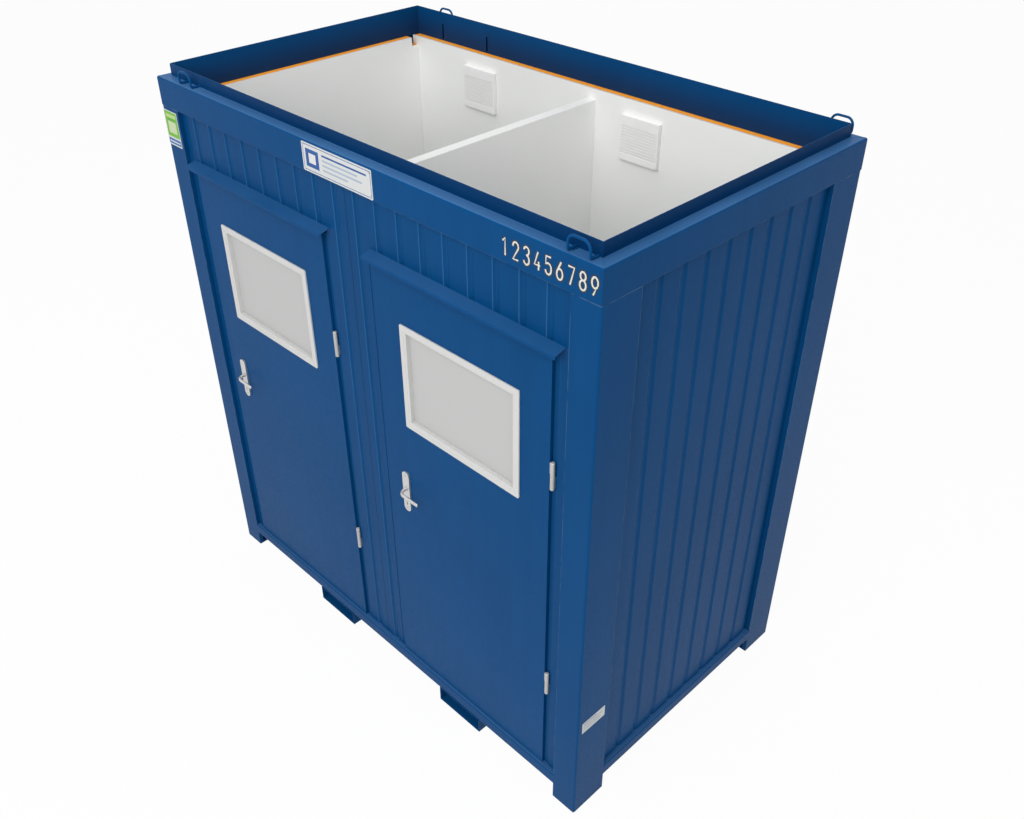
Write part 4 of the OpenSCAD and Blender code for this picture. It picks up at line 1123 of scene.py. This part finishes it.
def railWelds():
    flange, top = planes["roofFlange"], planes["roofTop"]
    lines = []
    for x, y in product((-1, 1), repeat=2):
        out, near, corner = ((x * a, y * b) for a, b in mitres.values())
        lines.append(((*out, flange), (*near, flange)))
        lines.append(((*corner, flange + 0.001), (*corner, top - 0.003)))
    bead("railWelds", lines, 0.0012, "frame", 0.003, 0.25)


# Level beads along the front: the ends of each, and where they lie
pocketBead = {"runs": ((-0.518, -0.260), (0.379, 0.637)), "y": -0.7004, "z": 0.0792}
canopyBead = {"runs": ((-1.045, -0.115), (0.124, 1.054)), "y": -0.6806, "z": 2.1690}


def levelBead(name, plan, radius, finish, pitch, ripple):
    lines = [((low + 0.002, plan["y"], plan["z"]), (high - 0.002, plan["y"], plan["z"])) for low, high in plan["runs"]]
    bead(name, lines, radius, finish, pitch, ripple)


# Folded edges of the door frame on both sides of a leaf, nearly level with the cladding
stripPlan = {"half": 0.437, "wide": 0.0215, "thick": 0.012, "low": 0.142, "high": 2.1385,
             "kinds": {"latch": {"way": -1, "gap": 0.0025, "front": -0.6792, "finish": "frame"},
                       "hinge": {"way": 1, "gap": 0.0012, "front": -0.6764, "finish": "shaded"}}}


def channelStrips(side, cubicle):
    plan = stripPlan
    for kind, own in plan["kinds"].items():
        front = own["front"]
        inner = cubicle["door"] + own["way"] * (plan["half"] + own["gap"])
        outer = inner + own["way"] * plan["wide"]
        strip = block(kind + "Strip" + side.title(), (min(inner, outer), front, plan["low"]),
                      (max(inner, outer), front + plan["thick"], plan["high"]))
        with Editing(strip) as edit:
            edit.corners(2, 0.002, 3, lambda edge: edge.verts[0].co.y < front + 0.001)
            edit.recess((0, 0, -1), 0.001, 0.0005)
        done(strip, own["finish"], "container")


# Lock barrels with a keyhole at each end, and the screws of the lock plates
lockPlan = {"back": 0.329, "high": 1.088, "radius": 0.0047, "front": -0.6948, "rear": -0.6332,
            "screws": {"front": -0.6962, "back": -0.6318}, "screwLevels": (1.062, 1.228)}


def keyBarrel(side, cubicle):
    plan = lockPlan
    x = cubicle["door"] - plan["back"]
    barrel = rod("keyBarrel" + side.title(), "y", plan["radius"], plan["rear"] - plan["front"],
                 (x, (plan["front"] + plan["rear"]) / 2, plan["high"]))
    with Editing(barrel) as edit:
        for way in (-1, 1):
            edit.recess((0, way, 0), 0.0012, 0.0004)
            edit.inset(0.0004)
            bpy.ops.transform.resize(value=(0.35, 1, 1.0), center_override=(x, 0, plan["high"]))
            edit.push(y=-way * 0.004)
    done(barrel, "bolt", "door_" + side, smooth=30)


def lockScrews(side, cubicle):
    x = cubicle["door"] - lockPlan["back"]
    places = [(way, (x, y, z)) for way, y in lockPlan["screws"].items() for z in lockPlan["screwLevels"]]
    screws("lockScrews" + side.title(), places, "door_" + side, "bolt")


# Water pipe: nuts as drop, height and width, a valve on each riser, clips along the wall
pipePlan = {"y": 0.600, "z": 0.339, "risers": (-0.418, 0.718), "inlet": 0.200, "top": 0.539,
            "nuts": ((0.009, 0.016, 0.028), (0.055, 0.012, 0.025), (0.095, 0.012, 0.025)), "teeNuts": 0.020,
            "tee": 0.0118, "valve": 0.0115, "long": 0.034, "valveDrop": 0.075, "knob": (0.009, 0.016, 0.019),
            "clips": (-0.28, -0.09, 0.06, 0.36, 0.54), "clip": (0.0118, 0.012), "wall": 0.6149, "foot": 0.006,
            "footHigh": 0.011}


def hexNut(at, high, across, turn=None):
    nut = start("nut", "cylinder", vertices=6, radius=across / 2 / math.cos(math.pi / 6), depth=high)
    with Editing(nut) as edit:
        edit.pick("EDGE", lambda edge: not upright(edge, 2))
        edit.bevel(0.0012)
        edit.pick("FACE", lambda face: abs(face.normal.z) > 0.9)
        edit.inset(0.0015, 0.0006)
    if turn:
        nut.data.transform(turn)
    nut.data.transform(Matrix.Translation(at))
    return nut


def pipeFittings():
    plan = pipePlan
    y, z, top = plan["y"], plan["z"], plan["top"]
    radius, deep, out = plan["knob"]
    parts = []
    for x in plan["risers"]:
        parts += [hexNut((x, y, top - drop), high, across) for drop, high, across in plan["nuts"]]
        valve = rod("valve", "z", plan["valve"], plan["long"], (x, y, top - plan["valveDrop"]), 24)
        knob = rod("knob", "y", radius, deep, (x, y - out, top - plan["valveDrop"]), 12)
        for piece in (valve, knob):
            soften(piece, 0.0015)
            parts.append(piece)
    sideways = Matrix.Rotation(math.pi / 2, 4, "Y")
    high, across = plan["nuts"][-1][1:]
    parts += [hexNut((plan["inlet"] + way * plan["teeNuts"], y, z), high, across, sideways) for way in (-1, 1)]
    tee = rod("tee", "x", plan["tee"], plan["long"], (plan["inlet"], y, z))
    soften(tee, 0.0015)
    done(join("pipeFittings", parts + [tee]), "brass", "container", smooth=30)


def pipeClips():
    plan = pipePlan
    y, z, foot = plan["y"], plan["z"], plan["foot"]
    clips = []
    for x in plan["clips"]:
        clip = rod("clip", "x", *plan["clip"], (x, y, z))
        soften(clip, 0.001)
        base = block("foot", (x - foot, y + foot, z - plan["footHigh"]), (x + foot, plan["wall"], z + plan["footHigh"]))
        soften(base, 0.0015)
        clips += [clip, base]
    done(join("pipeClips", clips), "plastic", "container", smooth=30)


# Rubber collars round the pipes that come out of the rear wall: place, hole and radius
collarPlan = {"pipes": ((-0.568, 0.234, 0.0555, 0.072), (0.568, 0.234, 0.0555, 0.072), (0.200, 0.339, 0.0135, 0.024)),
              "high": 0.0065}


def wallCollars():
    high = collarPlan["high"]
    collars = []
    for x, z, hole, radius in collarPlan["pipes"]:
        collar = rod("collar", "y", radius, high, (x, planes["rearCladding"] + high / 2, z), 64)
        with Editing(collar) as edit:
            edit.caps()
            edit.hollow(radius - hole)
        soften(collar, 0.0024, 3)
        collars.append(collar)
    done(join("wallCollars", collars), "seal", "container")


for name, plan in signPlan.items():
    sign(name, plan)
digitRow("digitOutlines", digits["stroke"] + digits["edge"], digits["edgeLift"], "digitEdge")
digitRow("digitStrokes", digits["stroke"], digits["lift"], "digitWhite")
print("signs made")

for side, cubicle in cubicles.items():
    for make in (glazingBead, windowGasket, channelStrips, keyBarrel, toiletPan, bowlWater, cistern, buttonRing,
                 floorCovering):
        make(side, cubicle)
    print("cubicle fitted:", side)

for side, cubicle in cubicles.items():
    paperHolder(side, cubicle)

for i, x in enumerate(ventPlan["middles"]):
    cover = ventLouvre("ventCover" + str(i + 1), x, planes["rearLining"], ventPlan["cover"], -1)
    done(cover, "plastic", "container", ["vent_covers"])
    grille = ventLouvre("ventGrille" + str(i + 1), x, planes["rearCladding"], ventPlan["grille"], 1)
    done(grille, "trim", "container", ["vent_grilles"])
print("vents made")

eyeWelds()
railWelds()
levelBead("pocketWelds", pocketBead, 0.0022, "frame", 0.003, 0.25)
levelBead("canopySeals", canopyBead, 0.0018, "trim", 0.02, 0.05)
pipeFittings()
pipeClips()
wallCollars()
plateScrews()
for side, cubicle in cubicles.items():
    lockScrews(side, cubicle)
ventScrews("ventScrews", "front", planes["rearLining"] - ventPlan["cover"], "plastic")
ventScrews("grilleScrews", "back", planes["rearCladding"] + ventPlan["grille"], "bolt")
print("fittings made")
